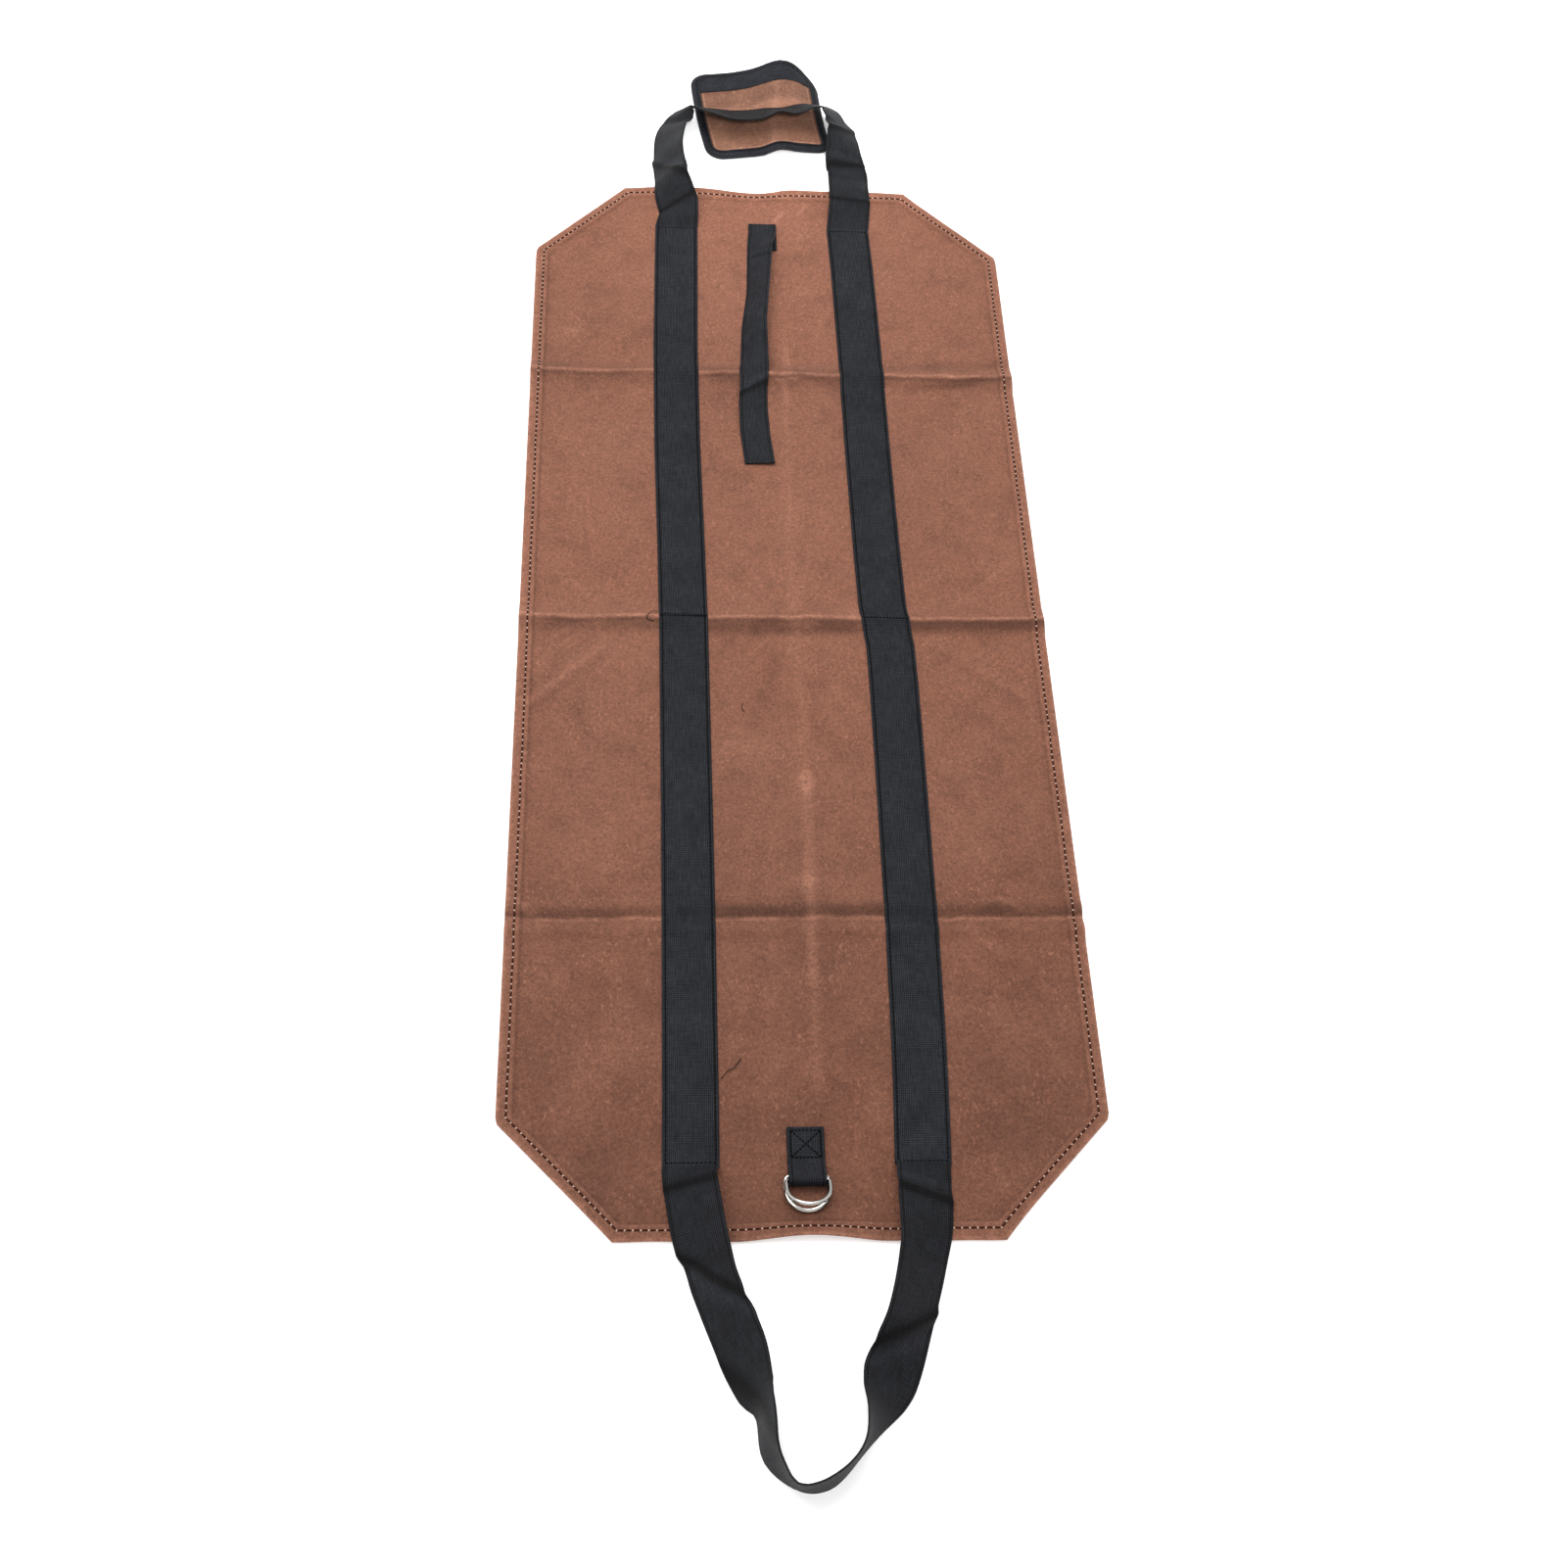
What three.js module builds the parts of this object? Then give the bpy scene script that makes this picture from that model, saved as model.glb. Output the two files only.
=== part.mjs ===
// Canvas log carrier, laid open and flat. Millimetres, +Z up, +Y towards the far handle.
import * as THREE from 'three';
import { mergeVertices } from 'three/addons/utils/BufferGeometryUtils.js';

// Canvas panel
const panelWidth = 412;
const panelLength = 996;
const chamferAcross = 78;
const chamferAlong = 82;
const canvasThickness = 1.6;
const hemWidth = 11;
const hemStep = 0.8;
const layerGap = 0.3;

// Fold ridges and rippled ends of the panel
const ridgeHeight = 4;
const ridgeReach = 18;
const nearEdgeLift = 5;
const farEdgeLift = 3;
const rippleHalfWidth = 50;
const rippleDepth = 30;
const rippleSetback = 0.35;
const endSway = 3;

// Webbing belt: two straps and two handle loops in one length
const beltWidth = 38;
const beltThickness = 1.4;
const strapSpacing = 158;
const sewnLength = 895;
const nearReach = 160;
const farReach = 96;
const joinGap = 0.8;
const loopStep = 5;

// Grip wrap under the far handle
const wrapWidth = 120;
const wrapDepth = 112;
const wrapThickness = 2;
const wrapStandoff = 51;
const wrapHeight = 2.6;
const wrapCrest = 18;
const wrapBow = 2.2;
const bindingWidth = 8;
const bindingThickness = 0.8;
const bindingGap = 0.55;
const tapeWidth = 16;
const tapeThickness = 1.1;

// Tie strap and ring tab
const tieWidth = 25;
const tieThickness = 1.4;
const tieLength = 286;
const tieStub = 31;
const tieFoldInset = 47;
const tieAcross = -4;
const tabWidth = 25;
const tabThickness = 1.4;
const tabSewnLength = 23;
const tabInset = 76;
const tabAcross = -0.8;

// D-rings
const ringWire = 3;
const ringWidth = 28.7;
const ringDepth = 23;
const ringCorner = 3;
const lowerRingTilt = -1;
const upperRingTilt = 27;
const barPitch = 3.4;
const barRise = 3.8;
const barInset = 12;

// Where each strap runs: along is a share of half the panel length, left and right are
// shares of half the strap spacing.
const strapLine = [
  { along: -0.9, left: -0.975, right: 0.972 },
  { along: -0.8, left: -0.971, right: 1.0 },
  { along: -0.7, left: -0.972, right: 1.019 },
  { along: -0.55, left: -0.972, right: 1.035 },
  { along: -0.36, left: -0.977, right: 1.043 },
  { along: -0.12, left: -0.987, right: 1.049 },
  { along: -0.04, left: -0.989, right: 1.043 },
  { along: 0.02, left: -0.995, right: 0.997 },
  { along: 0.15, left: -1.009, right: 0.981 },
  { along: 0.37, left: -1.04, right: 0.967 },
  { along: 0.6, left: -1.05, right: 0.962 },
  { along: 0.8, left: -1.037, right: 0.946 },
  { along: 0.9, left: -1.03, right: 0.93 },
];

// Handle loops: past is the way beyond the panel's edge as a share of the loop's reach, across a
// share of half the strap spacing, lean the tilt in degrees that lifts the inner edge.
const nearLoop = [
  { past: -0.238, across: -0.985, lean: 22 },
  { past: 0.01, across: -0.905, lean: 23 },
  { past: 0.08, across: -0.858, lean: 36 },
  { past: 0.191, across: -0.802, lean: 41 },
  { past: 0.444, across: -0.606, lean: 39 },
  { past: 0.628, across: -0.491, lean: 57 },
  { past: 0.694, across: -0.435, lean: 75 },
  { past: 0.863, across: -0.383, lean: 78 },
  { past: 0.985, across: -0.215, lean: 97 },
  { past: 0.999, across: -0.08, lean: 94 },
  { past: 0.972, across: 0.089, lean: 90 },
  { past: 0.865, across: 0.304, lean: 90 },
  { past: 0.739, across: 0.432, lean: 66 },
  { past: 0.644, across: 0.516, lean: 36 },
  { past: 0.552, across: 0.593, lean: 19 },
  { past: 0.362, across: 0.753, lean: 35 },
  { past: 0.081, across: 0.91, lean: 30 },
  { past: -0.048, across: 0.95, lean: 18 },
  { past: -0.3, across: 0.969, lean: 14 },
];
const farLoop = [
  { past: -0.182, across: 0.977, lean: 9 },
  { past: 0.016, across: 0.975, lean: 11 },
  { past: 0.278, across: 0.982, lean: 9 },
  { past: 0.379, across: 0.965, lean: 6 },
  { past: 0.546, across: 0.956, lean: 24 },
  { past: 0.759, across: 0.941, lean: 36 },
  { past: 0.909, across: 0.887, lean: 40 },
  { past: 1.01, across: 0.745, lean: 36 },
  { past: 0.986, across: 0.56, lean: 33 },
  { past: 0.919, across: 0.345, lean: 28 },
  { past: 0.9, across: 0.173, lean: 34 },
  { past: 0.89, across: -0.03, lean: 23 },
  { past: 0.953, across: -0.575, lean: 32 },
  { past: 0.975, across: -0.93, lean: 46 },
  { past: 0.873, across: -0.996, lean: 38 },
  { past: 0.746, across: -1.059, lean: 44 },
  { past: 0.444, across: -1.111, lean: 47 },
  { past: 0.12, across: -1.108, lean: 43 },
  { past: -0.08, across: -1.08, lean: 33 },
  { past: -0.293, across: -1.004, lean: 18 },
];

// Corners of the open grip wrap: across and round are shares of its width, out of its depth.
const wrapCorners = {
  nearLeft: { across: -0.42, out: -0.062, round: 0.13 },
  nearRight: { across: 0.529, out: 0.066, round: 0.1 },
  farRight: { across: 0.435, out: 1.036, round: 0.28 },
  farLeft: { across: -0.554, out: 0.955, round: 0.12 },
};

// Height of the wrap along its near and far sides, as shares of its crest.
const wrapRise = [
  { from: 0, near: 0, far: 0.08 },
  { from: 0.3, near: 0.04, far: 0.18 },
  { from: 0.44, near: 0.1, far: 0.33 },
  { from: 0.5, near: 0.25, far: 0.43 },
  { from: 0.57, near: 0.4, far: 0.6 },
  { from: 0.64, near: 0.36, far: 0.81 },
  { from: 0.72, near: 0.22, far: 0.94 },
  { from: 0.82, near: 0.11, far: 0.79 },
  { from: 0.92, near: 0.03, far: 0.34 },
  { from: 1, near: 0, far: 0.04 },
];

// How far each end of the panel bows out, as shares of its sway; across is a share of half the width.
const endLine = [
  { across: -1, near: 0, far: 0 },
  { across: -0.6, near: 0.27, far: 0.1 },
  { across: -0.5, near: 0.2, far: 0.8 },
  { across: -0.3, near: 0.5, far: 1.2 },
  { across: -0.22, near: 0.5, far: 0.65 },
  { across: -0.14, near: 0.4, far: -0.3 },
  { across: -0.05, near: 0.33, far: -0.9 },
  { across: 0.03, near: 0.33, far: -0.8 },
  { across: 0.08, near: 0.36, far: 0.1 },
  { across: 0.14, near: 0.4, far: 0.8 },
  { across: 0.24, near: 0.7, far: 0.85 },
  { across: 0.5, near: 0.75, far: 0.7 },
  { across: 0.6, near: 0.85, far: 0.4 },
  { across: 1, near: 0, far: 0 },
];

// Folded-over top run of the tie strap: run is a share of its length, shift a share of its width
// and lean the tilt in degrees that lifts its right edge.
const tieRun = [
  { run: 0.03, shift: 0, lean: 0 },
  { run: 0.13, shift: -0.14, lean: 28 },
  { run: 0.3, shift: -0.25, lean: 38 },
  { run: 0.45, shift: -0.43, lean: 31 },
  { run: 0.6, shift: -0.47, lean: 18 },
  { run: 0.7, shift: -0.52, lean: -20 },
  { run: 0.78, shift: -0.56, lean: -12 },
  { run: 0.88, shift: -0.52, lean: 0 },
  { run: 1, shift: -0.4, lean: 4 },
];

// Folds across the panel: at is a share of its length, side 1 for a ridge and -1 for a valley.
const folds = [
  { at: -0.264, side: -1 },
  { at: 0.003, side: 1 },
  { at: 0.266, side: 1 },
];

const canvasMaterial = new THREE.MeshStandardMaterial({ color: 0x8f6450, roughness: 0.85 });
const wrapMaterial = new THREE.MeshStandardMaterial({ color: 0xa5785f, roughness: 0.85 });
const beltMaterial = new THREE.MeshStandardMaterial({ color: 0x2f2f33, roughness: 0.8 });
const bindingMaterial = new THREE.MeshStandardMaterial({ color: 0x2b2b2e, roughness: 0.75 });
const tapeMaterial = new THREE.MeshStandardMaterial({ color: 0x303036, roughness: 0.95 });
const steelMaterial = new THREE.MeshStandardMaterial({ color: 0xd6d6d6, roughness: 0.2, metalness: 1 });

const halfWidth = panelWidth / 2;
const halfLength = panelLength / 2;
const halfSpacing = strapSpacing / 2;
const degree = Math.PI / 180;
const vec = (x, y, z) => new THREE.Vector3(x, y, z);
const clamp = THREE.MathUtils.clamp;

// Value of a table's column at a place along another column, in straight steps.
function lookUp(table, key, at, column) {
  const first = table[0];
  const last = table[table.length - 1];
  if (at <= first[key]) return first[column];
  if (at >= last[key]) return last[column];
  const next = table.findIndex((row) => row[key] >= at);
  const low = table[next - 1];
  const high = table[next];
  const share = (at - low[key]) / (high[key] - low[key]);
  return low[column] + (high[column] - low[column]) * share;
}

// The same value on a smooth curve through the rows.
function smoothLookUp(table, key, at, column) {
  const last = table.length - 1;
  const found = table.findIndex((row) => row[key] >= at);
  const next = found < 0 ? last : Math.max(1, found);
  const [before, low, high, after] = [next - 2, next - 1, next, next + 1].map((i) => table[clamp(i, 0, last)]);
  const span = high[key] - low[key];
  const share = (at - low[key]) / span;
  const slopeLow = (high[column] - before[column]) / (high[key] - before[key]) * span;
  const slopeHigh = (after[column] - low[column]) / (after[key] - low[key]) * span;
  const rise = high[column] - low[column];
  return low[column] + share * (slopeLow + share * (3 * rise - 2 * slopeLow - slopeHigh +
    share * (slopeLow + slopeHigh - 2 * rise)));
}

// A closed mesh from corner points and triangles, turned so that its faces point out.
function closedMesh(points, triangles) {
  const position = new Float32Array(points.flatMap((p) => [p.x, p.y, p.z]));
  const plain = new THREE.BufferGeometry();
  plain.setAttribute('position', new THREE.BufferAttribute(position, 3));
  let volume = 0;
  for (const [a, b, c] of triangles) volume += points[a].dot(points[b].clone().cross(points[c]));
  const outward = volume > 0 ? triangles : triangles.map(([a, b, c]) => [a, c, b]);
  plain.setIndex(outward.flat());
  return mergeVertices(plain, 1e-5);
}

// Joins sections, each a closed ring of the same number of points, into one body: with end caps,
// or with the last section joined to the first.
function sweep(sections, closed = false) {
  const count = sections[0].length;
  const triangles = [];
  const spans = closed ? sections.length : sections.length - 1;
  for (let i = 0; i < spans; i += 1) {
    const from = i * count;
    const to = ((i + 1) % sections.length) * count;
    for (let k = 0; k < count; k += 1) {
      const next = (k + 1) % count;
      triangles.push([from + k, from + next, to + next], [from + k, to + next, to + k]);
    }
  }
  if (!closed) {
    const end = (sections.length - 1) * count;
    for (let k = 1; k < count - 1; k += 1) {
      triangles.push([0, k + 1, k], [end, end + k, end + k + 1]);
    }
  }
  return closedMesh(sections.flat(), triangles);
}

// A thick sheet from two grids of points, upper and lower, row by row.
function slab(upper, lower) {
  const rows = upper.length;
  const columns = upper[0].length;
  const below = rows * columns;
  const at = (i, j) => i * columns + j;
  const triangles = [];
  const side = (a, b) => triangles.push([b, a, a + below], [b, a + below, b + below]);
  for (let i = 0; i < rows - 1; i += 1) {
    for (let j = 0; j < columns - 1; j += 1) {
      const [a, b, c, d] = [at(i, j), at(i, j + 1), at(i + 1, j + 1), at(i + 1, j)];
      triangles.push([a, c, b], [a, d, c]);
      triangles.push([a + below, b + below, c + below], [a + below, c + below, d + below]);
    }
    side(at(i, 0), at(i + 1, 0));
    side(at(i + 1, columns - 1), at(i, columns - 1));
  }
  for (let j = 0; j < columns - 1; j += 1) {
    side(at(0, j + 1), at(0, j));
    side(at(rows - 1, j), at(rows - 1, j + 1));
  }
  return closedMesh([...upper.flat(), ...lower.flat()], triangles);
}

// A flat strip of webbing: each station has its middle and the unit direction across its width.
function ribbon(stations, width, thickness) {
  const sections = stations.map(({ middle, across }, i) => {
    const before = stations[Math.max(i - 1, 0)].middle;
    const after = stations[Math.min(i + 1, stations.length - 1)].middle;
    const face = after.clone().sub(before).cross(across).setLength(thickness / 2);
    const edge = across.clone().setLength(width / 2);
    return [
      middle.clone().add(edge).add(face),
      middle.clone().add(edge).sub(face),
      middle.clone().sub(edge).sub(face),
      middle.clone().sub(edge).add(face),
    ];
  });
  return sweep(sections);
}

// Shape of the panel

// Half the panel's width at a distance along it, with the cut corners.
function outlineHalfWidth(y) {
  const intoCorner = Math.abs(y) - (halfLength - chamferAlong);
  return halfWidth - Math.max(0, intoCorner) * (chamferAcross / chamferAlong);
}

// The same for the hem's inner line, which runs parallel to the cut edges.
function hemHalfWidth(y) {
  const slope = chamferAcross / chamferAlong;
  const intoCorner = Math.abs(y) - (halfLength - chamferAlong);
  const alongCorner = halfWidth - intoCorner * slope - hemWidth * Math.hypot(1, slope);
  return Math.min(halfWidth - hemWidth, alongCorner);
}

// Height of the canvas's underside over the floor.
function canvasLift(x, y) {
  let lift = 0;
  for (const fold of folds) {
    const away = Math.abs(y - fold.at * panelLength) / ridgeReach;
    if (away < 1 && fold.side > 0) lift += ridgeHeight * Math.cos(away * Math.PI / 2) ** 2;
    if (away < 1 && fold.side < 0) lift += 0.5 * ridgeHeight * Math.sin(away * Math.PI) ** 2;
  }
  const fromEdge = (halfLength - Math.abs(y)) / rippleDepth;
  const aside = Math.abs(x) / rippleHalfWidth;
  if (fromEdge < 1 && aside < 1) {
    const height = y < 0 ? nearEdgeLift : farEdgeLift;
    const ripple = y < 0 ? 1 : Math.cos((x / rippleHalfWidth - 0.4) * Math.PI);
    const wave = Math.cos(aside * Math.PI / 2) ** 2 * Math.max(0, ripple);
    lift += height * (1 - fromEdge) ** 2.5 * wave;
  }
  return lift;
}

// A rippled end draws back as it rises, and neither end is quite straight.
function drawBack(x, y) {
  const into = (Math.abs(y) - (halfLength - rippleDepth)) / rippleDepth;
  if (into <= 0) return y;
  const out = smoothLookUp(endLine, 'across', x / halfWidth, y < 0 ? 'near' : 'far') * endSway;
  return y + Math.sign(y) * (out * into ** 2 - rippleSetback * canvasLift(x, y));
}

function onHem(x, y) {
  return Math.abs(y) > halfLength - hemWidth || Math.abs(x) > hemHalfWidth(y);
}

// Height of the panel's visible face, or of the floor outside it.
function panelTop(x, y) {
  if (Math.abs(y) > halfLength || Math.abs(x) > outlineHalfWidth(y)) return 0;
  return canvasLift(x, y) + canvasThickness * (onHem(x, y) ? 2 : 1);
}

// Distances along the panel where its surface bends.
function panelRows() {
  const slope = chamferAcross / chamferAlong;
  const corner = halfLength - chamferAlong;
  const hemCorner = corner - hemWidth * (Math.hypot(1, slope) - 1) / slope;
  const hemLine = halfLength - hemWidth;
  const rows = [0.95, 0.75, 0.5, 0.3].map((share) => halfLength - share * rippleDepth);
  rows.push(halfLength, hemLine, hemLine - hemStep, corner, hemCorner);
  const all = [...rows, ...rows.map((y) => -y)];
  for (const fold of folds) {
    for (const share of [-1, -0.72, -0.5, -0.25, 0, 0.25, 0.5, 0.72, 1]) {
      all.push(fold.at * panelLength + share * ridgeReach);
    }
  }
  return all.sort((a, b) => a - b).filter((y, i, list) => i === 0 || y - list[i - 1] > 0.5);
}

function canvasPanel() {
  const inner = [-1, -0.45, -0.3, -0.2, -0.12, -0.04, 0.04, 0.12, 0.2, 0.3, 0.45, 1];
  const upper = [];
  const lower = [];
  for (const y of panelRows()) {
    const edge = outlineHalfWidth(y);
    const hem = Math.abs(y) === halfLength ? edge - hemWidth : hemHalfWidth(y);
    const columns = [-edge, -hem - hemStep / 2];
    for (const share of inner) {
      const x = share * halfWidth;
      columns.push(Math.abs(share) === 1 ? Math.sign(share) * hem : clamp(x, -hem, hem));
    }
    columns.push(hem + hemStep / 2, edge);
    upper.push(columns.map((x, j) => {
      const raised = j < 2 || j > columns.length - 3 || Math.abs(y) >= halfLength - hemWidth;
      return vec(x, drawBack(x, y), canvasLift(x, y) + canvasThickness * (raised ? 2 : 1));
    }));
    lower.push(columns.map((x) => vec(x, drawBack(x, y), canvasLift(x, y))));
  }
  return slab(upper, lower);
}

// Shape of the grip wrap

const wrapCorner = ({ across, out }) => ({
  x: across * wrapWidth,
  y: halfLength + wrapStandoff + out * wrapDepth,
});
const wrapFrame = {
  nearLeft: wrapCorner(wrapCorners.nearLeft),
  nearRight: wrapCorner(wrapCorners.nearRight),
  farRight: wrapCorner(wrapCorners.farRight),
  farLeft: wrapCorner(wrapCorners.farLeft),
};

// A point of the wrap's middle surface: u runs from left to right and v from near to far.
function wrapPoint(u, v) {
  const blend = (axis) =>
    (1 - u) * (1 - v) * wrapFrame.nearLeft[axis] + u * (1 - v) * wrapFrame.nearRight[axis] +
    u * v * wrapFrame.farRight[axis] + (1 - u) * v * wrapFrame.farLeft[axis];
  const rise = smoothLookUp(wrapRise, 'from', u, 'near') * (1 - v) +
    smoothLookUp(wrapRise, 'from', u, 'far') * v;
  const bow = wrapBow * 4 * v * (1 - v);
  return vec(blend('x') - bow, blend('y'), wrapHeight + wrapCrest * rise);
}

function wrapNormal(u, v) {
  const step = 0.01;
  const right = wrapPoint(u + step, v).sub(wrapPoint(u - step, v));
  const far = wrapPoint(u, v + step).sub(wrapPoint(u, v - step));
  return right.cross(far).normalize();
}

function wrapOffset(u, v, height) {
  return wrapPoint(u, v).addScaledVector(wrapNormal(u, v), height);
}

// Top of the wrap with its binding over a place on the floor, or the floor itself beside it.
function wrapTop(x, y) {
  let u = 0.5;
  let v = 0.5;
  for (let round = 0; round < 6; round += 1) {
    const here = wrapPoint(u, v);
    u += (x - here.x) / wrapWidth;
    v += (y - here.y) / wrapDepth;
  }
  const over = bindingWidth / wrapDepth;
  if (u < -over || u > 1 + over || v < -over || v > 1 + over) return 0;
  const onBinding = Math.min(u, 1 - u) < 2 * bindingWidth / wrapWidth;
  const thick = wrapThickness / 2 + (onBinding ? bindingGap + bindingThickness : 0);
  return wrapPoint(clamp(u, 0, 1), clamp(v, 0, 1)).z + thick + layerGap / 2;
}

// How far in from the wrap's left or right side a line runs that follows the rounded edge at a
// distance within it, as a share of the width, at a share v of the depth.
function sideInset(side, v, within) {
  const radius = wrapCorners[(v < 0.5 ? 'near' : 'far') + side].round;
  const intoCorner = Math.max(0, radius - Math.min(v, 1 - v));
  const reach = clamp(intoCorner / (radius - within / wrapDepth), 0, 1);
  return radius - (radius - within / wrapWidth) * Math.sqrt(1 - reach * reach);
}

// Rows of points over the wrap, from one share of the depth to another, inside that line.
function wrapGrid(shares, columns, within, height) {
  return shares.map((v) => {
    const left = sideInset('Left', v, within);
    const width = 1 - left - sideInset('Right', v, within);
    return Array.from({ length: columns }, (_, j) => wrapOffset(left + width * j / (columns - 1), v, height));
  });
}

function gripWrap() {
  const edge = bindingThickness / wrapDepth;
  const shares = [0, 0.015, 0.05, 0.12, 0.32, 0.52, 0.7, 0.79, 0.86, 0.91, 0.95, 0.985, 1];
  const rows = shares.map((share) => edge + share * (1 - 2 * edge));
  const upper = wrapGrid(rows, 31, bindingThickness, wrapThickness / 2);
  return slab(upper, wrapGrid(rows, 31, bindingThickness, -wrapThickness / 2));
}

// Places round the wrap's edge, each with the direction out of it in shares of the wrap.
function wrapBorder() {
  const border = [];
  const corners = [
    { u: 1, v: 0, round: wrapCorners.nearRight.round },
    { u: 1, v: 1, round: wrapCorners.farRight.round },
    { u: 0, v: 1, round: wrapCorners.farLeft.round },
    { u: 0, v: 0, round: wrapCorners.nearLeft.round },
  ];
  const centre = (value, round) => (value === 1 ? 1 - round : round);
  corners.forEach(({ u, v, round }, side) => {
    const [fromU, fromV] = [centre(u, round), centre(v, round)];
    const steps = 5;
    for (let k = 0; k <= steps; k += 1) {
      const angle = (side - 1 + k / steps) * Math.PI / 2;
      const out = [Math.cos(angle), Math.sin(angle)];
      border.push({ u: fromU + round * out[0], v: fromV + round * out[1], out });
    }
    const next = corners[(side + 1) % 4];
    const out = [[1, 0], [0, 1], [-1, 0], [0, -1]][side];
    const start = [fromU + round * out[0], fromV + round * out[1]];
    const end = [centre(next.u, next.round) + next.round * out[0], centre(next.v, next.round) + next.round * out[1]];
    const straight = side % 2 === 0 ? 6 : 20;
    for (let k = 1; k < straight; k += 1) {
      const share = k / straight;
      border.push({ u: start[0] + (end[0] - start[0]) * share, v: start[1] + (end[1] - start[1]) * share, out });
    }
  });
  return border;
}

// The binding is folded over the wrap's edge: its section is a channel that opens inwards.
function gripBinding() {
  const slot = wrapThickness / 2 + bindingGap;
  const outer = slot + bindingThickness;
  const half = bindingWidth / 2;
  const profile = [
    [-bindingWidth, outer], [-half, outer], [0, outer], [0, -outer], [-half, -outer], [-bindingWidth, -outer],
    [-bindingWidth, -slot], [-half, -slot], [-bindingThickness, -slot],
    [-bindingThickness, slot], [-half, slot], [-bindingWidth, slot],
  ];
  const reach = bindingThickness + layerGap;
  const sections = wrapBorder().map(({ u, v, out }) => profile.map(([inward, height]) => {
    const along = inward + reach;
    return wrapOffset(u + out[0] * along / wrapWidth, v + out[1] * along / wrapDepth, height);
  }));
  return sweep(sections, true);
}

// A closure strip sewn on the wrap inside its far binding.
function gripTape() {
  const within = bindingWidth + layerGap;
  const far = 1 - within / wrapDepth;
  const near = far - tapeWidth / wrapDepth;
  const seat = wrapThickness / 2 + 2 * layerGap;
  const rows = [0, 0.35, 0.65, 0.87, 1].map((share) => near + (far - near) * share);
  return slab(wrapGrid(rows, 23, within, seat + tapeThickness), wrapGrid(rows, 23, within, seat));
}

// Shape of the belt

function strapPoint(y, column) {
  return { x: lookUp(strapLine, 'along', y / halfLength, column) * halfSpacing, y };
}

// Lowest height at which a strip's low edge clears what lies under it.
function restHeight(x, y, outward, lean) {
  const shares = [1, 0.75, 0.5, 0.25, 0, -0.25, -0.5, -0.75, -1];
  const needed = shares.map((share) => {
    const fromLowEdge = (1 - share) / 2 * beltWidth * Math.sin(lean);
    const aside = share * beltWidth / 2 * Math.cos(lean);
    const under = [x + outward.x * aside, y + outward.y * aside];
    return Math.max(panelTop(...under), wrapTop(...under)) - fromLowEdge;
  });
  const top = Math.max(...needed);
  return (top > 0.1 ? top + 2 * layerGap : 0) + beltThickness / 2;
}

// Middle line and width directions of one handle loop. The low outer edge rests on what is under
// it and the inner edge is lifted by the lean.
function loopStations(table, end, reach, turn) {
  const places = new THREE.CatmullRomCurve3(table.map(({ past, across }) =>
    vec(across * halfSpacing, end * (halfLength + past * reach), 0)), false, 'centripetal');
  const count = Math.round(places.getLength() / loopStep);
  const leans = new THREE.SplineCurve(table.map(({ lean }, i) => new THREE.Vector2(i, lean)));
  const samples = Array.from({ length: count + 1 }, (_, k) => {
    const t = places.getUtoTmapping(k / count);
    const place = places.getPoint(t);
    const heading = places.getTangent(t);
    const outward = vec(heading.y * turn, -heading.x * turn, 0).normalize();
    const lean = leans.getPoint(t).y * degree;
    return { place, outward, lean, rest: restHeight(place.x, place.y, outward, lean) };
  });
  const around = (i, reach) => samples.slice(Math.max(0, i - reach), i + reach + 1);
  const highest = samples.map((_, i) => Math.max(...around(i, 2).map(({ rest }) => rest)));
  return samples.map(({ place, outward, lean }, i) => {
    const near = highest.slice(Math.max(0, i - 1), i + 2);
    const rest = near.reduce((sum, height) => sum + height, 0) / near.length;
    const across = outward.clone().multiplyScalar(Math.cos(lean)).add(vec(0, 0, -Math.sin(lean)));
    const lift = rest + beltWidth / 2 * Math.sin(lean);
    return { middle: vec(place.x, place.y, lift), across };
  });
}

// One strap as it is sewn on the panel, from one distance along it to another.
function strapStations(column, from, to, outward) {
  const low = Math.min(from, to);
  const high = Math.max(from, to);
  const rows = panelRows().filter((y) => y > low + 1 && y < high - 1);
  const along = [low, ...rows, high];
  if (from > to) along.reverse();
  return along.map((y) => {
    const { x } = strapPoint(y, column);
    const height = canvasLift(x, y) + canvasThickness + layerGap + beltThickness / 2;
    return { middle: vec(x, y, height), across: vec(outward, 0, 0) };
  });
}

// The whole belt, from its join on the left strap round the near loop, up the right strap and
// round the far loop back to the join.
function webbingBelt() {
  const sewnEnd = sewnLength / 2;
  const join = folds[1].at * panelLength;
  const stations = [
    ...strapStations('left', join - joinGap / 2, -sewnEnd, -1),
    ...loopStations(nearLoop, -1, nearReach, 1),
    ...strapStations('right', -sewnEnd, sewnEnd, 1),
    ...loopStations(farLoop, 1, farReach, 1),
    ...strapStations('left', sewnEnd, join + joinGap / 2, -1),
  ];
  return ribbon(stations, beltWidth, beltThickness);
}

// Shape of the tie strap and the ring tab

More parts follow.
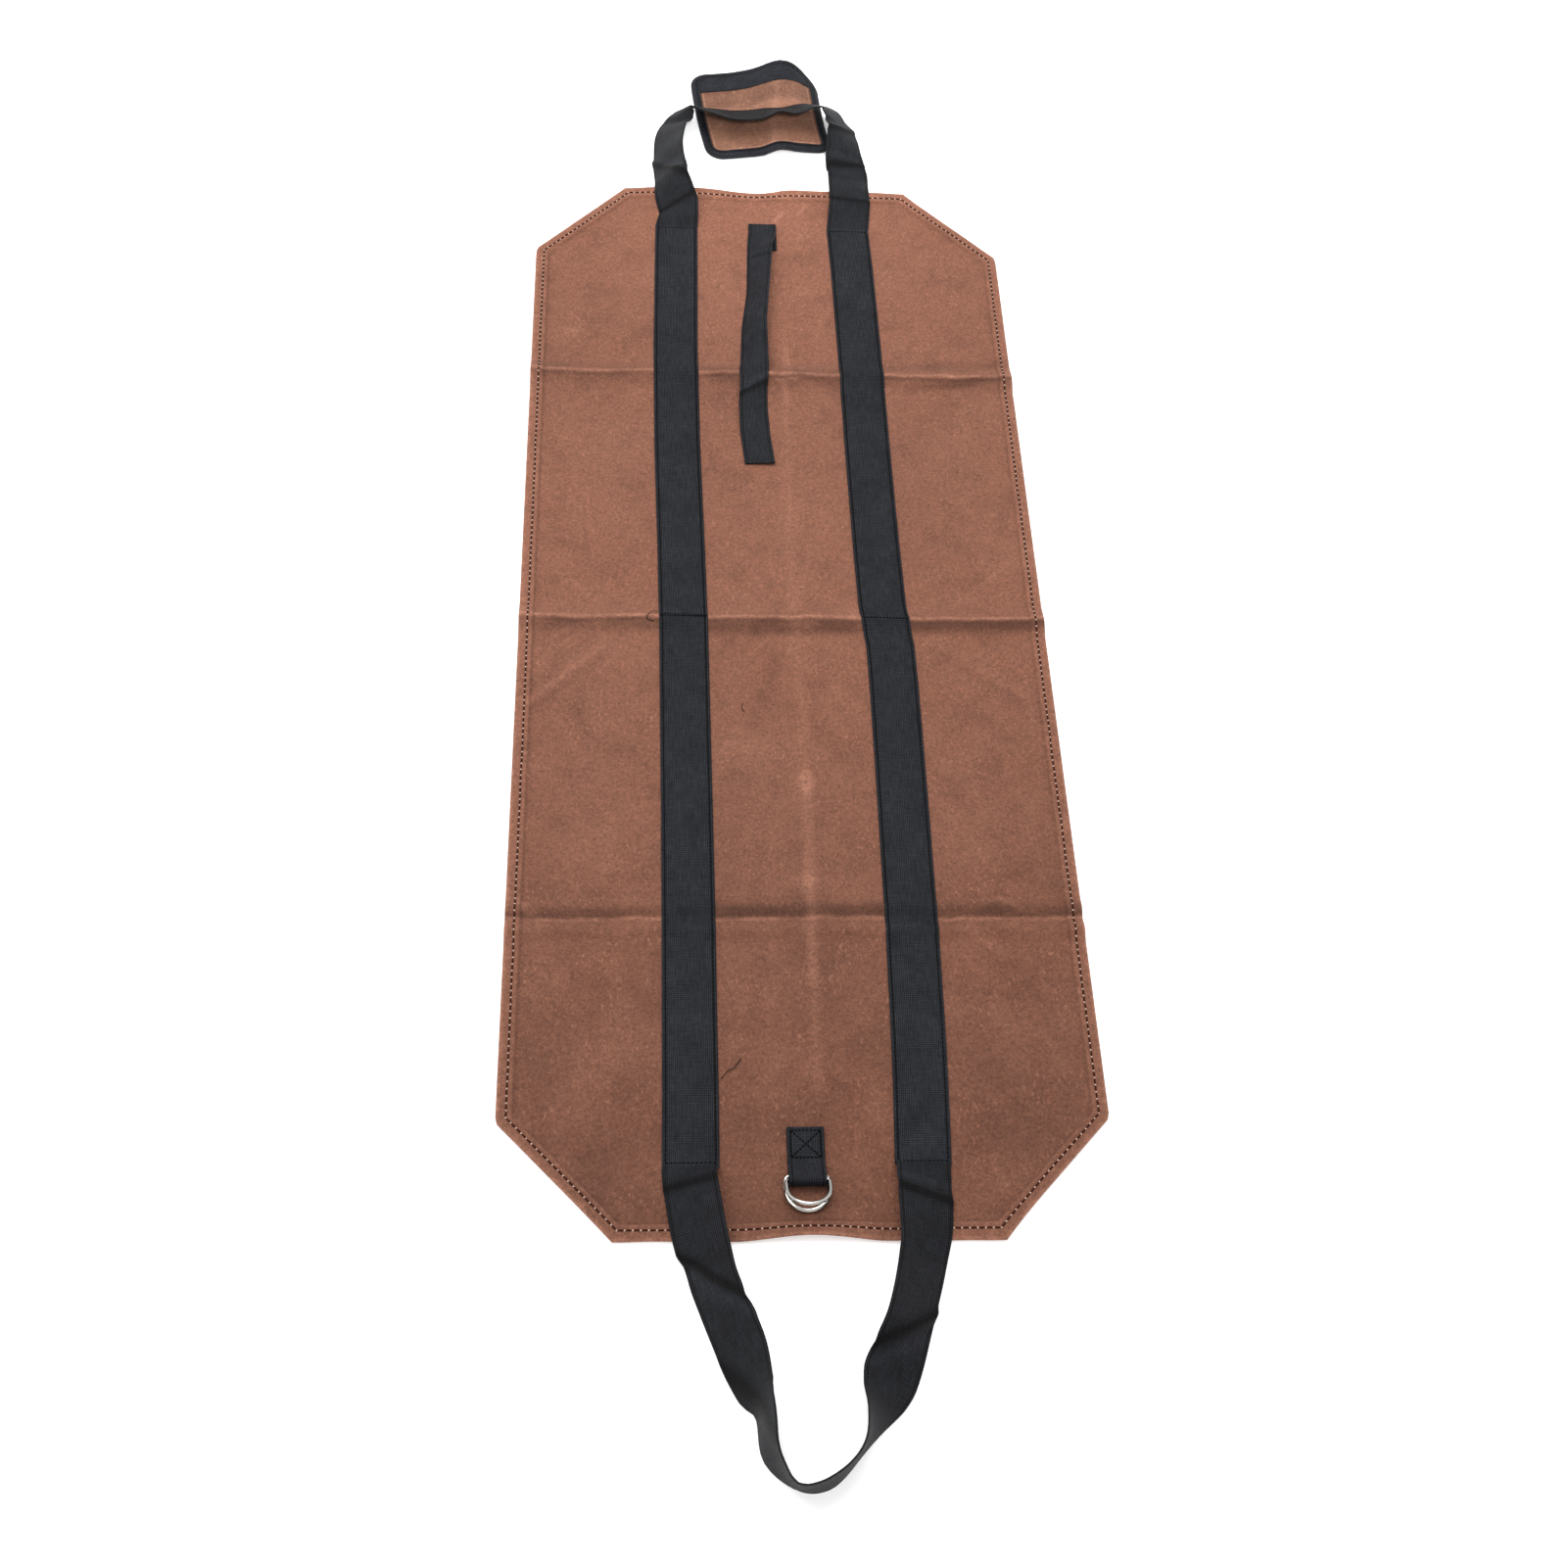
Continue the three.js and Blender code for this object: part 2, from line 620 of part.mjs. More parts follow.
// Starts at the sewn stub's cut end, folds over at the top and comes back over the stub.
function tieStrap() {
  const seat = canvasThickness + layerGap + tieThickness / 2;
  const foldAt = halfLength - tieFoldInset;
  const turn = (tieThickness + layerGap) / 2;
  const across = vec(1, 0, 0);
  const stations = [{ middle: vec(tieAcross, foldAt - tieStub, seat), across }];
  for (let k = 0; k <= 4; k += 1) {
    const angle = (k / 4 - 0.5) * Math.PI;
    const middle = vec(tieAcross, foldAt + turn * Math.cos(angle), seat + turn + turn * Math.sin(angle));
    stations.push({ middle, across });
  }
  const steps = 30;
  for (let k = 1; k <= steps; k += 1) {
    const run = tieRun[0].run + (1 - tieRun[0].run) * k / steps;
    const lean = lookUp(tieRun, 'run', run, 'lean') * degree;
    const x = tieAcross + lookUp(tieRun, 'run', run, 'shift') * tieWidth;
    const y = foldAt - run * tieLength;
    const onStub = y > foldAt - tieStub - 4 ? 2 * turn : 0;
    const under = Math.max(canvasLift(x, y), canvasLift(x, y - 4), canvasLift(x, y + 4));
    const rest = under + seat + onStub + tieWidth / 2 * Math.sin(Math.abs(lean));
    const tilt = vec(Math.cos(lean), 0, Math.sin(lean));
    stations.push({ middle: vec(x, y, rest), across: tilt });
  }
  return ribbon(stations, tieWidth, tieThickness);
}

const tabTop = -(halfLength - tabInset);
const tabSeat = canvasThickness + layerGap + tabThickness / 2;
const lowerBar = {
  y: tabTop - tabSewnLength - barInset,
  z: tabSeat + tabThickness / 2 + layerGap + ringWire / 2,
};
const upperBar = { y: lowerBar.y - barPitch, z: lowerBar.z + barRise };

// Doubled webbing, flat where it is sewn and open round the two bars at its near end.
function ringTab() {
  const clear = ringWire / 2 + tabThickness / 2 + 2 * layerGap;
  const sewnEnd = tabTop - tabSewnLength;
  const upperSeat = tabSeat + tabThickness + layerGap;
  const line = [[tabTop, tabSeat], [sewnEnd, tabSeat], [lowerBar.y, tabSeat]];
  const steps = 8;
  line.push([upperBar.y - clear * 0.5, tabSeat + 0.3], [upperBar.y - clear, tabSeat + clear]);
  for (let k = 1; k <= steps; k += 1) {
    const angle = Math.PI - (k / steps) * Math.PI * 0.66;
    line.push([upperBar.y + clear * Math.cos(angle), upperBar.z + clear * Math.sin(angle)]);
  }
  line.push([sewnEnd - 1.5, upperSeat + 0.4], [sewnEnd, upperSeat], [tabTop, upperSeat]);
  const across = vec(1, 0, 0);
  return ribbon(line.map(([y, z]) => ({ middle: vec(tabAcross, y, z), across })), tabWidth, tabThickness);
}

// Shape of the rings

// Middle line of the wire: a straight bar on the X axis, two short sides and a half circle.
function ringGeometry() {
  const bow = ringWidth / 2;
  const side = ringDepth - bow;
  const line = new THREE.CurvePath();
  const corner = (x, sign) => new THREE.QuadraticBezierCurve3(
    vec(x - sign * ringCorner * (sign > 0 ? 1 : 0), sign > 0 ? 0 : -ringCorner, 0),
    vec(x, 0, 0),
    vec(sign > 0 ? x : x + ringCorner, sign > 0 ? -ringCorner : 0, 0),
  );
  line.add(new THREE.LineCurve3(vec(-bow + ringCorner, 0, 0), vec(bow - ringCorner, 0, 0)));
  line.add(corner(bow, 1));
  line.add(new THREE.LineCurve3(vec(bow, -ringCorner, 0), vec(bow, -side, 0)));
  const arc = Array.from({ length: 17 }, (_, k) => {
    const angle = -k / 16 * Math.PI;
    return vec(bow * Math.cos(angle), -side + bow * Math.sin(angle), 0);
  });
  line.add(new THREE.CatmullRomCurve3(arc));
  line.add(new THREE.LineCurve3(vec(-bow, -side, 0), vec(-bow, -ringCorner, 0)));
  line.add(corner(-bow, -1));
  return new THREE.TubeGeometry(line, 60, ringWire / 2, 12, true);
}

function closedTube(geometry) {
  const bare = geometry.clone();
  bare.deleteAttribute('normal');
  bare.deleteAttribute('uv');
  return mergeVertices(bare, 1e-4);
}

function dRing(name, bar, tilt) {
  const ring = new THREE.Mesh(closedTube(ringGeometry()), steelMaterial.clone());
  ring.name = name;
  ring.position.set(tabAcross, bar.y, bar.z);
  ring.rotation.x = -tilt * degree;
  return ring;
}

function piece(name, geometry, material) {
  const mesh = new THREE.Mesh(geometry, material);
  mesh.name = name;
  return mesh;
}

const carrier = new THREE.Group();
carrier.add(
  piece('canvas_panel', canvasPanel(), canvasMaterial),
  piece('webbing_belt', webbingBelt(), beltMaterial),
  piece('grip_wrap', gripWrap(), wrapMaterial),
  piece('grip_binding', gripBinding(), bindingMaterial),
  piece('grip_tape', gripTape(), tapeMaterial),
  piece('tie_strap', tieStrap(), beltMaterial.clone()),
  piece('ring_tab', ringTab(), beltMaterial.clone()),
  dRing('d_ring_lower', lowerBar, lowerRingTilt),
  dRing('d_ring_upper', upperBar, upperRingTilt),
);

// The origin is the middle of the footprint, at floor height.
carrier.updateMatrixWorld(true);
const bounds = new THREE.Box3().setFromObject(carrier, true);
const middle = bounds.getCenter(vec(0, 0, 0)).setZ(bounds.min.z);
for (const part of carrier.children) part.position.sub(middle);

export default carrier;
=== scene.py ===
"""Looks of a canvas log carrier laid open on a pale floor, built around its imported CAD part."""
import math

import bpy
from mathutils import Matrix, Vector, noise


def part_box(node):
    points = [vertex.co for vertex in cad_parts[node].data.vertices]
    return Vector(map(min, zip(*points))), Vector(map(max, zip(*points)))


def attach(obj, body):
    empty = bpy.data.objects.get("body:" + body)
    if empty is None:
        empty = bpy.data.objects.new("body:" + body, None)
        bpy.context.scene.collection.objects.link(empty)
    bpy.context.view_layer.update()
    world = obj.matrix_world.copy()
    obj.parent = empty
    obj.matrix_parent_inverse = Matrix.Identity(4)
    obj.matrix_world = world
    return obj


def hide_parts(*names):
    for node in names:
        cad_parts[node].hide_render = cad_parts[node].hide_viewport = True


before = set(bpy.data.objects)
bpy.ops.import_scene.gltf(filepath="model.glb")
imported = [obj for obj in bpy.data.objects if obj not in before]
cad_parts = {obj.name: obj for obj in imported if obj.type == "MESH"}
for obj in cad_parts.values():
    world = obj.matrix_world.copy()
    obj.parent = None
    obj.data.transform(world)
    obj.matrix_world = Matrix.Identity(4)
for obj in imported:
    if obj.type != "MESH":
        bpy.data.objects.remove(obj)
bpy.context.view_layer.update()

bl_info = {
    "name": "Canvas log carrier",
    "version": (1, 0, 0),
    "blender": (4, 5, 0),
    "location": "View3D > Sidebar > Carrier",
    "description": "Builds the cloth, webbing, stitching and steel of a canvas log carrier",
    "category": "Object",
}

MM = 0.001
UP = Vector((0, 0, 1))

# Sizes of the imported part, in millimetres. Places are measured from the panel's middle, on the floor.
PANEL_W, PANEL_L = 412, 996
HALF_W, HALF_L = PANEL_W / 2, PANEL_L / 2
CUT_X, CUT_Y = 78, 82
CANVAS, HEM, HEM_SEAM, GAP = 1.6, 11, 7, 0.3
RIDGE, RIDGE_REACH = 4, 18
NEAR_LIFT, FAR_LIFT = 5, 3
RIPPLE_W, RIPPLE_D, SETBACK, SWAY = 50, 30, 0.35, 3
BELT_W, BELT_T = 38, 1.4
HALF_SPACING, SEWN, JOIN_GAP = 79, 447.5, 0.8
STRAP_SEAM, SEAM_END = 16.6, 445
NEAR_REACH, FAR_REACH, LOOP_STEP = 160, 96, 5
WRAP_W, WRAP_D, WRAP_T = 120, 112, 2
WRAP_STANDOFF, WRAP_HEIGHT, WRAP_CREST, WRAP_BOW = 51, 2.6, 18, 2.2
BINDING_W, BINDING_T, BINDING_GAP = 8, 0.8, 0.55
TAPE_W, TAPE_T = 16, 1.1
TIE_W, TIE_T, TIE_L = 25, 1.4, 286
TIE_STUB, TIE_INSET, TIE_X = 31, 47, -4
TAB_W, TAB_T, TAB_SEWN, TAB_INSET, TAB_X = 25, 1.4, 23, 76, -0.8
RING_WIRE, BAR_DROP, BAR_PITCH, BAR_RISE = 3, 12, 3.4, 3.8
# Distance from point to point along the belt's loops, its sewn lengths and the tab
FINE_STEP, SEWN_STEP, TAB_STEP = 2.5, 3, 1.2
# Distance from stitch to stitch along the straps, across their ends, and in the cross stitches
EDGE_PITCH, END_PITCH, CROSS_PITCH = 3.2, 2.8, 2.6
# How far in the binding's seam runs, and points along and across the wrap and along the tie strap
BINDING_SEAM, WRAP_ROWS, WRAP_COLUMNS, TIE_STEPS = 4.9, 108, 112, 144

# Camera: place from the panel's middle, downward tilt, turn to the right and roll in degrees, lens
CAMERA_PLACE = (-107.94, -936.06, 1224.69)
CAMERA_TURN = (57.003, 7.447, 6.471)
CAMERA_LENS = 45.139

# (share of half the panel's length, left strap, right strap), in shares of half the strap spacing
STRAPS = [
    (-0.9, -0.975, 0.972), (-0.8, -0.971, 1.0), (-0.7, -0.972, 1.019), (-0.55, -0.972, 1.035),
    (-0.36, -0.977, 1.043), (-0.12, -0.987, 1.049), (-0.04, -0.989, 1.043), (0.02, -0.995, 0.997),
    (0.15, -1.009, 0.981), (0.37, -1.04, 0.967), (0.6, -1.05, 0.962), (0.8, -1.037, 0.946),
    (0.9, -1.03, 0.93),
]
# (share of the reach past the panel, share of half the strap spacing, lean in degrees)
NEAR_LOOP = [
    (-0.238, -0.985, 22), (0.01, -0.905, 23), (0.08, -0.858, 36), (0.191, -0.802, 41),
    (0.444, -0.606, 39), (0.628, -0.491, 57), (0.694, -0.435, 75), (0.863, -0.383, 78),
    (0.985, -0.215, 97), (0.999, -0.08, 94), (0.972, 0.089, 90), (0.865, 0.304, 90),
    (0.739, 0.432, 66), (0.644, 0.516, 36), (0.552, 0.593, 19), (0.362, 0.753, 35),
    (0.081, 0.91, 30), (-0.048, 0.95, 18), (-0.3, 0.969, 14),
]
FAR_LOOP = [
    (-0.182, 0.977, 9), (0.016, 0.975, 11), (0.278, 0.982, 9), (0.379, 0.965, 6),
    (0.546, 0.956, 24), (0.759, 0.941, 36), (0.909, 0.887, 40), (1.01, 0.745, 36),
    (0.986, 0.56, 33), (0.919, 0.345, 28), (0.9, 0.173, 34), (0.89, -0.03, 23),
    (0.953, -0.575, 32), (0.975, -0.93, 42), (0.873, -1.02, 32), (0.746, -1.085, 38),
    (0.444, -1.12, 44), (0.12, -1.108, 43), (-0.08, -1.08, 33), (-0.293, -1.004, 18),
]
# (share of half the panel's width, how far the near and the far end bow out in shares of the sway)
END_LINE = [
    (-1.0, 0.0, 0.0), (-0.6, 0.27, 0.1), (-0.5, 0.2, 0.8), (-0.3, 0.5, 1.2), (-0.22, 0.5, 0.65),
    (-0.14, 0.4, -0.3), (-0.05, 0.33, -0.9), (0.03, 0.33, -0.8), (0.08, 0.36, 0.1), (0.14, 0.4, 0.8),
    (0.24, 0.7, 0.85), (0.5, 0.75, 0.7), (0.6, 0.85, 0.4), (1.0, 0.0, 0.0),
]
# (share across, share out, corner radius in shares of the width), from the near left corner round
WRAP_CORNERS = [(-0.42, -0.062, 0.13), (0.529, 0.066, 0.1), (0.435, 1.036, 0.28), (-0.554, 0.955, 0.12)]
# (share from the wrap's left, height of its near and far side in shares of the crest)
WRAP_RISE = [
    (0.0, 0.0, 0.08), (0.3, 0.04, 0.18), (0.44, 0.1, 0.33), (0.5, 0.25, 0.43), (0.57, 0.4, 0.6),
    (0.64, 0.36, 0.81), (0.72, 0.22, 0.94), (0.82, 0.11, 0.79), (0.92, 0.03, 0.34), (1.0, 0.0, 0.04),
]
# (share of the tie strap's length, shift in shares of its width, lean in degrees)
TIE_RUN = [
    (0.03, 0, 0), (0.13, -0.14, 28), (0.3, -0.25, 38), (0.45, -0.43, 31), (0.6, -0.47, 18),
    (0.7, -0.52, -20), (0.78, -0.56, -12), (0.88, -0.52, 0), (1.0, -0.4, 4),
]
# (place in shares of the panel's length, 1 for a ridge or -1 for a valley)
FOLDS = [(-0.264, -1), (0.003, 1), (0.266, 1)]
JOIN = FOLDS[1][0] * PANEL_L

# Marks on the canvas, in millimetres. Worn lines: both ends, half width, paleness, height
WORN_LINES = [
    (11, 317, 10, 217, 3, 0.22, 0.5), (10, 217, 9, 19, 4, 0.2, 0.5), (9, 19, 11, -146, 5, 0.2, 0.4),
    (11, -146, 11, -230, 6, 0.4, 0.7), (11, -230, 10, -309, 4.5, 0.38, 0.8), (10, -309, 9, -392, 4, 0.25, 0.5),
    (-196, -76, -170, -50, 2.5, 0.3, -0.3), (-170, -50, -143, -24, 3, 0.3, -0.3),
    (112, -15, 151, -41, 2.5, 0.25, -0.3), (151, -41, 188, -71, 2.5, 0.35, -0.3),
    (-195, 73, -169, 46, 2.2, 0.2, -0.2), (-169, 46, -143, 20, 2.2, 0.25, -0.2),
    (193, 71, 167, 48, 2.5, 0.2, -0.2), (167, 48, 141, 24, 2.5, 0.25, -0.2),
    (-28, 260, -2, 266, 1.6, 0.8, 0.8), (-2, 266, 6, 258, 1.5, 0.8, 0.8), (6, 258, 22, 262, 1.5, 0.6, 0.6),
    (22, 262, 26, 276, 1.5, 0.6, 0.6), (8, 258, 12, 236, 1.6, 0.5, 0.5), (42, 262, 44, 276, 1.6, 0.4, 0.5),
    (16, 262, 12, 298, 1.8, 0.6, 0.5), (-26, 208, -8, 216, 2, 0.3, 0.3), (110, 258, 150, 268, 2, 0.4, 0.5),
    (-196, -250, -178, -268, 2, 0.4, 0.4), (120, -270, 150, -292, 1.8, 0.45, 0.3),
    (146, -246, 172, -262, 2, 0.5, 0.5), (6, 458, 15, 470, 1.6, 0.8, 0.1), (30, 469, 36, 480, 1.6, 0.6, 0.1),
    (-52, -244, 30, -240, 3, 0.1, 0.5),
]
# Painted shade along the dips: both ends, half width, darkness
PAINTED_SHADE_LINES = [
    (-60, -5, -20, -7, 5, 0.8), (-20, -7, 62, -5, 5, 0.8), (100, -4, 206, 0, 5, 0.6),
    (-206, -5, -105, -5, 4, 0.35), (-60, -255, 0, -256, 5, 0.6), (0, -256, 60, -254, 5, 0.6),
    (-206, -262, -100, -256, 4, 0.3), (100, -255, 206, -254, 5, 0.4), (136, -257, 146, -255, 6, 0.7),
    (-206, 272, -110, 271, 6, 0.35), (-60, 270, 60, 270, 6, 0.5), (100, 275, 206, 285, 6, 0.5),
    (4, 250, 16, 254, 4, 0.6), (24, 268, 34, 264, 4, 0.5), (-192, -82, -140, -32, 4, 0.4),
    (-196, -60, -150, -14, 4, 0.25), (115, -22, 186, -78, 4, 0.3), (110, 250, 150, 256, 4, 0.4),
    (150, 256, 200, 268, 4, 0.4), (18, -180, 18, -300, 5, 0.25), (2, -180, 2, -300, 5, 0.25),
]
# Pale scuffs: middle, half length across and along, paleness
SCUFFS = [
    (-171, 315, 9, 5, 0.55), (30, 369, 8, 4, 0.35), (11, -148, 5, 9, 0.8), (6, -232, 9, 5, 0.6),
    (60, 10, 6, 8, 0.5), (175, 116, 4, 4, 0.5), (-35, 176, 7, 3, 0.35), (-30, -118, 26, 16, 0.28),
    (20, 120, 22, 30, 0.18), (95, -330, 30, 16, 0.18), (-140, -370, 40, 20, 0.16), (-130, 190, 40, 26, 0.14),
    (150, 190, 24, 40, 0.12), (80, -60, 4, 14, 0.3), (38, -62, 3, 13, 0.35), (-150, -200, 26, 18, 0.14),
    (120, -190, 30, 20, 0.12), (-90, 380, 30, 18, 0.12), (110, 390, 30, 18, 0.14),
]
# Creases in a free loop of the belt: distance along and share across of both ends, depth, half width
CREASES = {
    "near": [(3, -1, 2, 1, -0.9, 2.6), (45, 1, 90, -1, -1.9, 3.2), (56, 1, 101, -1, 1.2, 4),
             (120, 1.1, 190, -1, -0.8, 6), (326, -1, 361, 1, -2, 3.2), (314, -1, 349, 1, 1.2, 4.5),
             (441, -1, 431, 1, -1.6, 2.6), (449, -1, 442, 1, 1.1, 3)],
    "far": [(3, -1, 3, 1, -0.8, 2.6), (56, -1, 58, 1, -1.5, 3), (66, -1, 66, 1, 1, 3.5),
            (92, -1, 102, 1, -1.9, 3), (101, -1, 111, 1, 1.3, 4), (326, 1, 369, -1, -1.7, 3.2),
            (316, 1, 359, -1, 1.1, 4), (386, -1, 390, 1, -0.8, 2.6)],
}
# Shaded stretch of each loop: place along it, extra darkness, half length
SHADED = {"near": (230, 0.3, 70), "far": (220, 0.5, 90)}
# Painted shade over the belt's free loops and the bridges between its runs
LOOP_PAINTED_SHADE = 0.34
# Creases of the tie strap: y and share across of both ends, painted shade (a painted highlight where below 0), half
# width
TIE_CREASES = [(257, 1, 236, -1, 1.2, 2.2), (262, 1, 243, -1, -0.5, 4), (403, 1, 406, -0.5, 0.7, 2),
               (300, 1, 330, -1, 0.3, 5)]
# Distances in from the panel's outline where its sheet has points
EDGE_STEPS = [0, 0.3, 0.8, 1.5, 3.2, 5.2, 6.2, 7, 7.8, 9.2, 10.2, 11, 11.8, 13.5]
# Shares across a strip where it has points
SECTION = [-1, -0.975, -0.93, -0.86, -0.78, -0.6, -0.4, -0.2, 0, 0.2, 0.4, 0.6, 0.78, 0.86, 0.93, 0.975, 1]

# The panel's middle in the row frame, in metres
CENTRE_X = (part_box("canvas_panel")[0].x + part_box("canvas_panel")[1].x) / 2
CENTRE_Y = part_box("ring_tab")[1].y + (HALF_L - TAB_INSET) * MM


# Curves and noise

def clamp(x, low, high):
    return max(low, min(high, x))


def smooth_step(low, high, x):
    share = clamp((x - low) / (high - low), 0, 1)
    return share * share * (3 - 2 * share)


def bell(away, width):
    return math.exp(-(away / width) ** 2)


def wave(x, y, size, seed=0.0):
    """Smooth noise between about -1 and 1 with lumps of that size."""
    return noise.noise(Vector((x / size, y / size, seed)))


def line_distance(x, y, x0, y0, x1, y1):
    """Distance of a place from a line between two others."""
    dx, dy = x1 - x0, y1 - y0
    share = clamp(((x - x0) * dx + (y - y0) * dy) / (dx * dx + dy * dy), 0, 1)
    return math.hypot(x - x0 - share * dx, y - y0 - share * dy)


def look_up(table, at, column):
    """Value of a column at a place along the table's first one, in straight steps."""
    if at <= table[0][0]:
        return table[0][column]
    for low, high in zip(table, table[1:]):
        if at <= high[0]:
            return low[column] + (high[column] - low[column]) * (at - low[0]) / (high[0] - low[0])
    return table[-1][column]


def smooth_look_up(table, at, column):
    """The same value on a smooth curve through the rows."""
    last = len(table) - 1
    after = max(1, next((i for i, row in enumerate(table) if row[0] >= at), last))
    before, low, high, beyond = (table[clamp(after + i, 0, last)] for i in (-2, -1, 0, 1))
    span = high[0] - low[0]
    share = (at - low[0]) / span
    slope_low = (high[column] - before[column]) / (high[0] - before[0]) * span
    slope_high = (beyond[column] - low[column]) / (beyond[0] - low[0]) * span
    rise = high[column] - low[column]
    return low[column] + share * (slope_low + share * (3 * rise - 2 * slope_low - slope_high + share * (
        slope_low + slope_high - 2 * rise)))


def spline(points, t):
    """A place and its heading on the curve through the points, t from 0 to their number less one."""
    last = len(points) - 1
    i = min(int(t), last - 1)
    w = t - i
    p1, p2 = points[i], points[i + 1]
    p0 = points[i - 1] if i else tuple(2 * a - b for a, b in zip(p1, p2))
    p3 = points[i + 2] if i + 2 <= last else tuple(2 * b - a for a, b in zip(p1, p2))
    d0, d1, d2 = (max(math.dist(a, b) ** 0.5, 1e-4) for a, b in ((p0, p1), (p1, p2), (p2, p3)))
    spot, heading = [], []
    for x0, x1, x2, x3 in zip(p0, p1, p2, p3):
        t1 = ((x1 - x0) / d0 - (x2 - x0) / (d0 + d1) + (x2 - x1) / d1) * d1
        t2 = ((x2 - x1) / d1 - (x3 - x1) / (d1 + d2) + (x3 - x2) / d2) * d1
        c2, c3 = -3 * x1 + 3 * x2 - 2 * t1 - t2, 2 * x1 - 2 * x2 + t1 + t2
        spot.append(x1 + t1 * w + c2 * w * w + c3 * w ** 3)
        heading.append(t1 + 2 * c2 * w + 3 * c3 * w * w)
    return spot, heading


def smooth_value(values, t):
    """Value on the even curve through a list of numbers."""
    last = len(values) - 1
    i = min(int(t), last - 1)
    w = t - i
    p0, p1, p2, p3 = (values[clamp(i + k, 0, last)] for k in (-1, 0, 1, 2))
    v0, v1 = (p2 - p0) / 2, (p3 - p1) / 2
    return (2 * p1 - 2 * p2 + v0 + v1) * w ** 3 + (-3 * p1 + 3 * p2 - 2 * v0 - v1) * w * w + v0 * w + p1


# The panel's form

def half_width(y):
    """Half the panel's width at y, with its cut corners."""
    return HALF_W - max(0, abs(y) - (HALF_L - CUT_Y)) * CUT_X / CUT_Y


def edge_distance(x, y):
    """Distance in from the panel's outline."""
    cut = ((HALF_W - abs(x)) / CUT_X + (HALF_L - abs(y)) / CUT_Y - 1) * CUT_X * CUT_Y / math.hypot(CUT_X, CUT_Y)
    return min(HALF_W - abs(x), HALF_L - abs(y), cut)


def canvas_lift(x, y):
    """Height of the canvas's underside over the floor."""
    lift = 0.0
    for at, side in FOLDS:
        away = abs(y - at * PANEL_L) / RIDGE_REACH
        if away < 1:
            lift += RIDGE * (math.cos(away * math.pi / 2) ** 2 if side > 0 else math.sin(away * math.pi) ** 2 / 2)
    from_edge = (HALF_L - abs(y)) / RIPPLE_D
    if from_edge < 1 and abs(x) < RIPPLE_W:
        ripple = 1 if y < 0 else max(0, math.cos((x / RIPPLE_W - 0.4) * math.pi))
        ripple *= math.cos(x / RIPPLE_W * math.pi / 2) ** 2
        lift += (NEAR_LIFT if y < 0 else FAR_LIFT) * max(0, 1 - from_edge) ** 2.5 * ripple
    return lift


def draw_back(x, y):
    """Where a place lies once its end has drawn back and bowed out."""
    into = (abs(y) - (HALF_L - RIPPLE_D)) / RIPPLE_D
    if into <= 0:
        return y
    out = smooth_look_up(END_LINE, x / HALF_W, 1 if y < 0 else 2) * SWAY * into ** 2
    return y + (out - SETBACK * canvas_lift(x, y)) * (1 if y > 0 else -1)


def panel_top(x, y):
    """Height of the panel's visible face, or of the floor beside it."""
    if abs(y) > HALF_L or abs(x) > half_width(y):
        return 0.0
    return canvas_lift(x, y) + CANVAS * (2 if edge_distance(x, y) < HEM else 1)


def fold_line(at, x):
    """Where a fold runs at x: straight but for a little unevenness."""
    return at * PANEL_L + 2.2 * wave(x, 0, 45, 5 + at) + wave(x, 0, 13, 9 + at)


def relief(x, y):
    """The cloth's soft unevenness over its regular folds."""
    height = 0.9 * (0.5 * (1 + wave(x, y, 85, 3.1)) + 0.35 * wave(x, y, 34, 7.7))
    for at, side in FOLDS:
        away = y - fold_line(at, x)
        if abs(away) < 42:
            height += side * (1.3 * bell(away, 2.6) - 0.9 * bell(away + 9, 8)) * (0.6 + 0.8 * wave(x, y, 22, 1.3))
    for *line, width, _, rise in WORN_LINES:
        away = line_distance(x, y, *line)
        if away < 3 * width:
            height += rise * bell(away, width)
    return max(0.0, height * sizes().wrinkles)


def paleness(x, y):
    """How pale a place is, from 0 to 1: wax worn and cracked to a paler colour, and along each fold and the outline
    also painted highlight.
    """
    wear_and_highlight = sum(pale * bell(line_distance(x, y, *line), width) for *line, width, pale, _ in WORN_LINES)
    for mid_x, mid_y, across, along, pale in SCUFFS:
        wear_and_highlight += pale * bell(math.hypot((x - mid_x) / across, (y - mid_y) / along), 1)
    # Pale line on the lit side of each fold: partly cracked wax, partly painted highlight
    for at, _ in FOLDS:
        wear_and_highlight += 1.2 * bell(y - fold_line(at, x) - 1, 1.7) * (0.75 + 0.7 * wave(x, y, 16, 4.4))
    # Pale outline: partly rubbed edge, partly painted highlight on the rolled edge; the hem a little paler
    edge = edge_distance(x, y)
    wear_and_highlight += 0.9 * bell(edge, 1.5) + 0.26 * smooth_step(HEM + 1, HEM - 1, edge)
    return clamp(wear_and_highlight, 0, 1)


def painted_shade(x, y):
    """How much painted shade a place gets, from 0 to 1: in its dips, beside each fold, at the hem's step and along
    the hem's seam.
    """
    dips = sum(amount * bell(line_distance(x, y, *line), width) for *line, width, amount in PAINTED_SHADE_LINES)
    dark = dips * (0.8 + 0.6 * wave(x, y, 18, 6.6))
    for at, side in FOLDS:
        away = y - fold_line(at, x)
        dark += (0.8 + 0.9 * wave(x, y, 26, 8.8)) * (
            0.45 * bell(away + 6 * side, 4.5) + 0.7 * bell(away + 2.6 * side, 1.6))
    edge = edge_distance(x, y)
    return clamp(dark + 0.35 * bell(edge - HEM - 0.8, 1) + 0.25 * bell(edge - HEM_SEAM, 0.9), 0, 1)


def painted_far_light(x, y):
    """Painted light, from 0 at the near end to 1 from about the middle on: the panel is made paler toward its far
    end.
    """
    return clamp(smooth_step(-500, 90, y) * (0.9 + 0.3 * wave(x, y, 120, 2.7)), 0, 1)


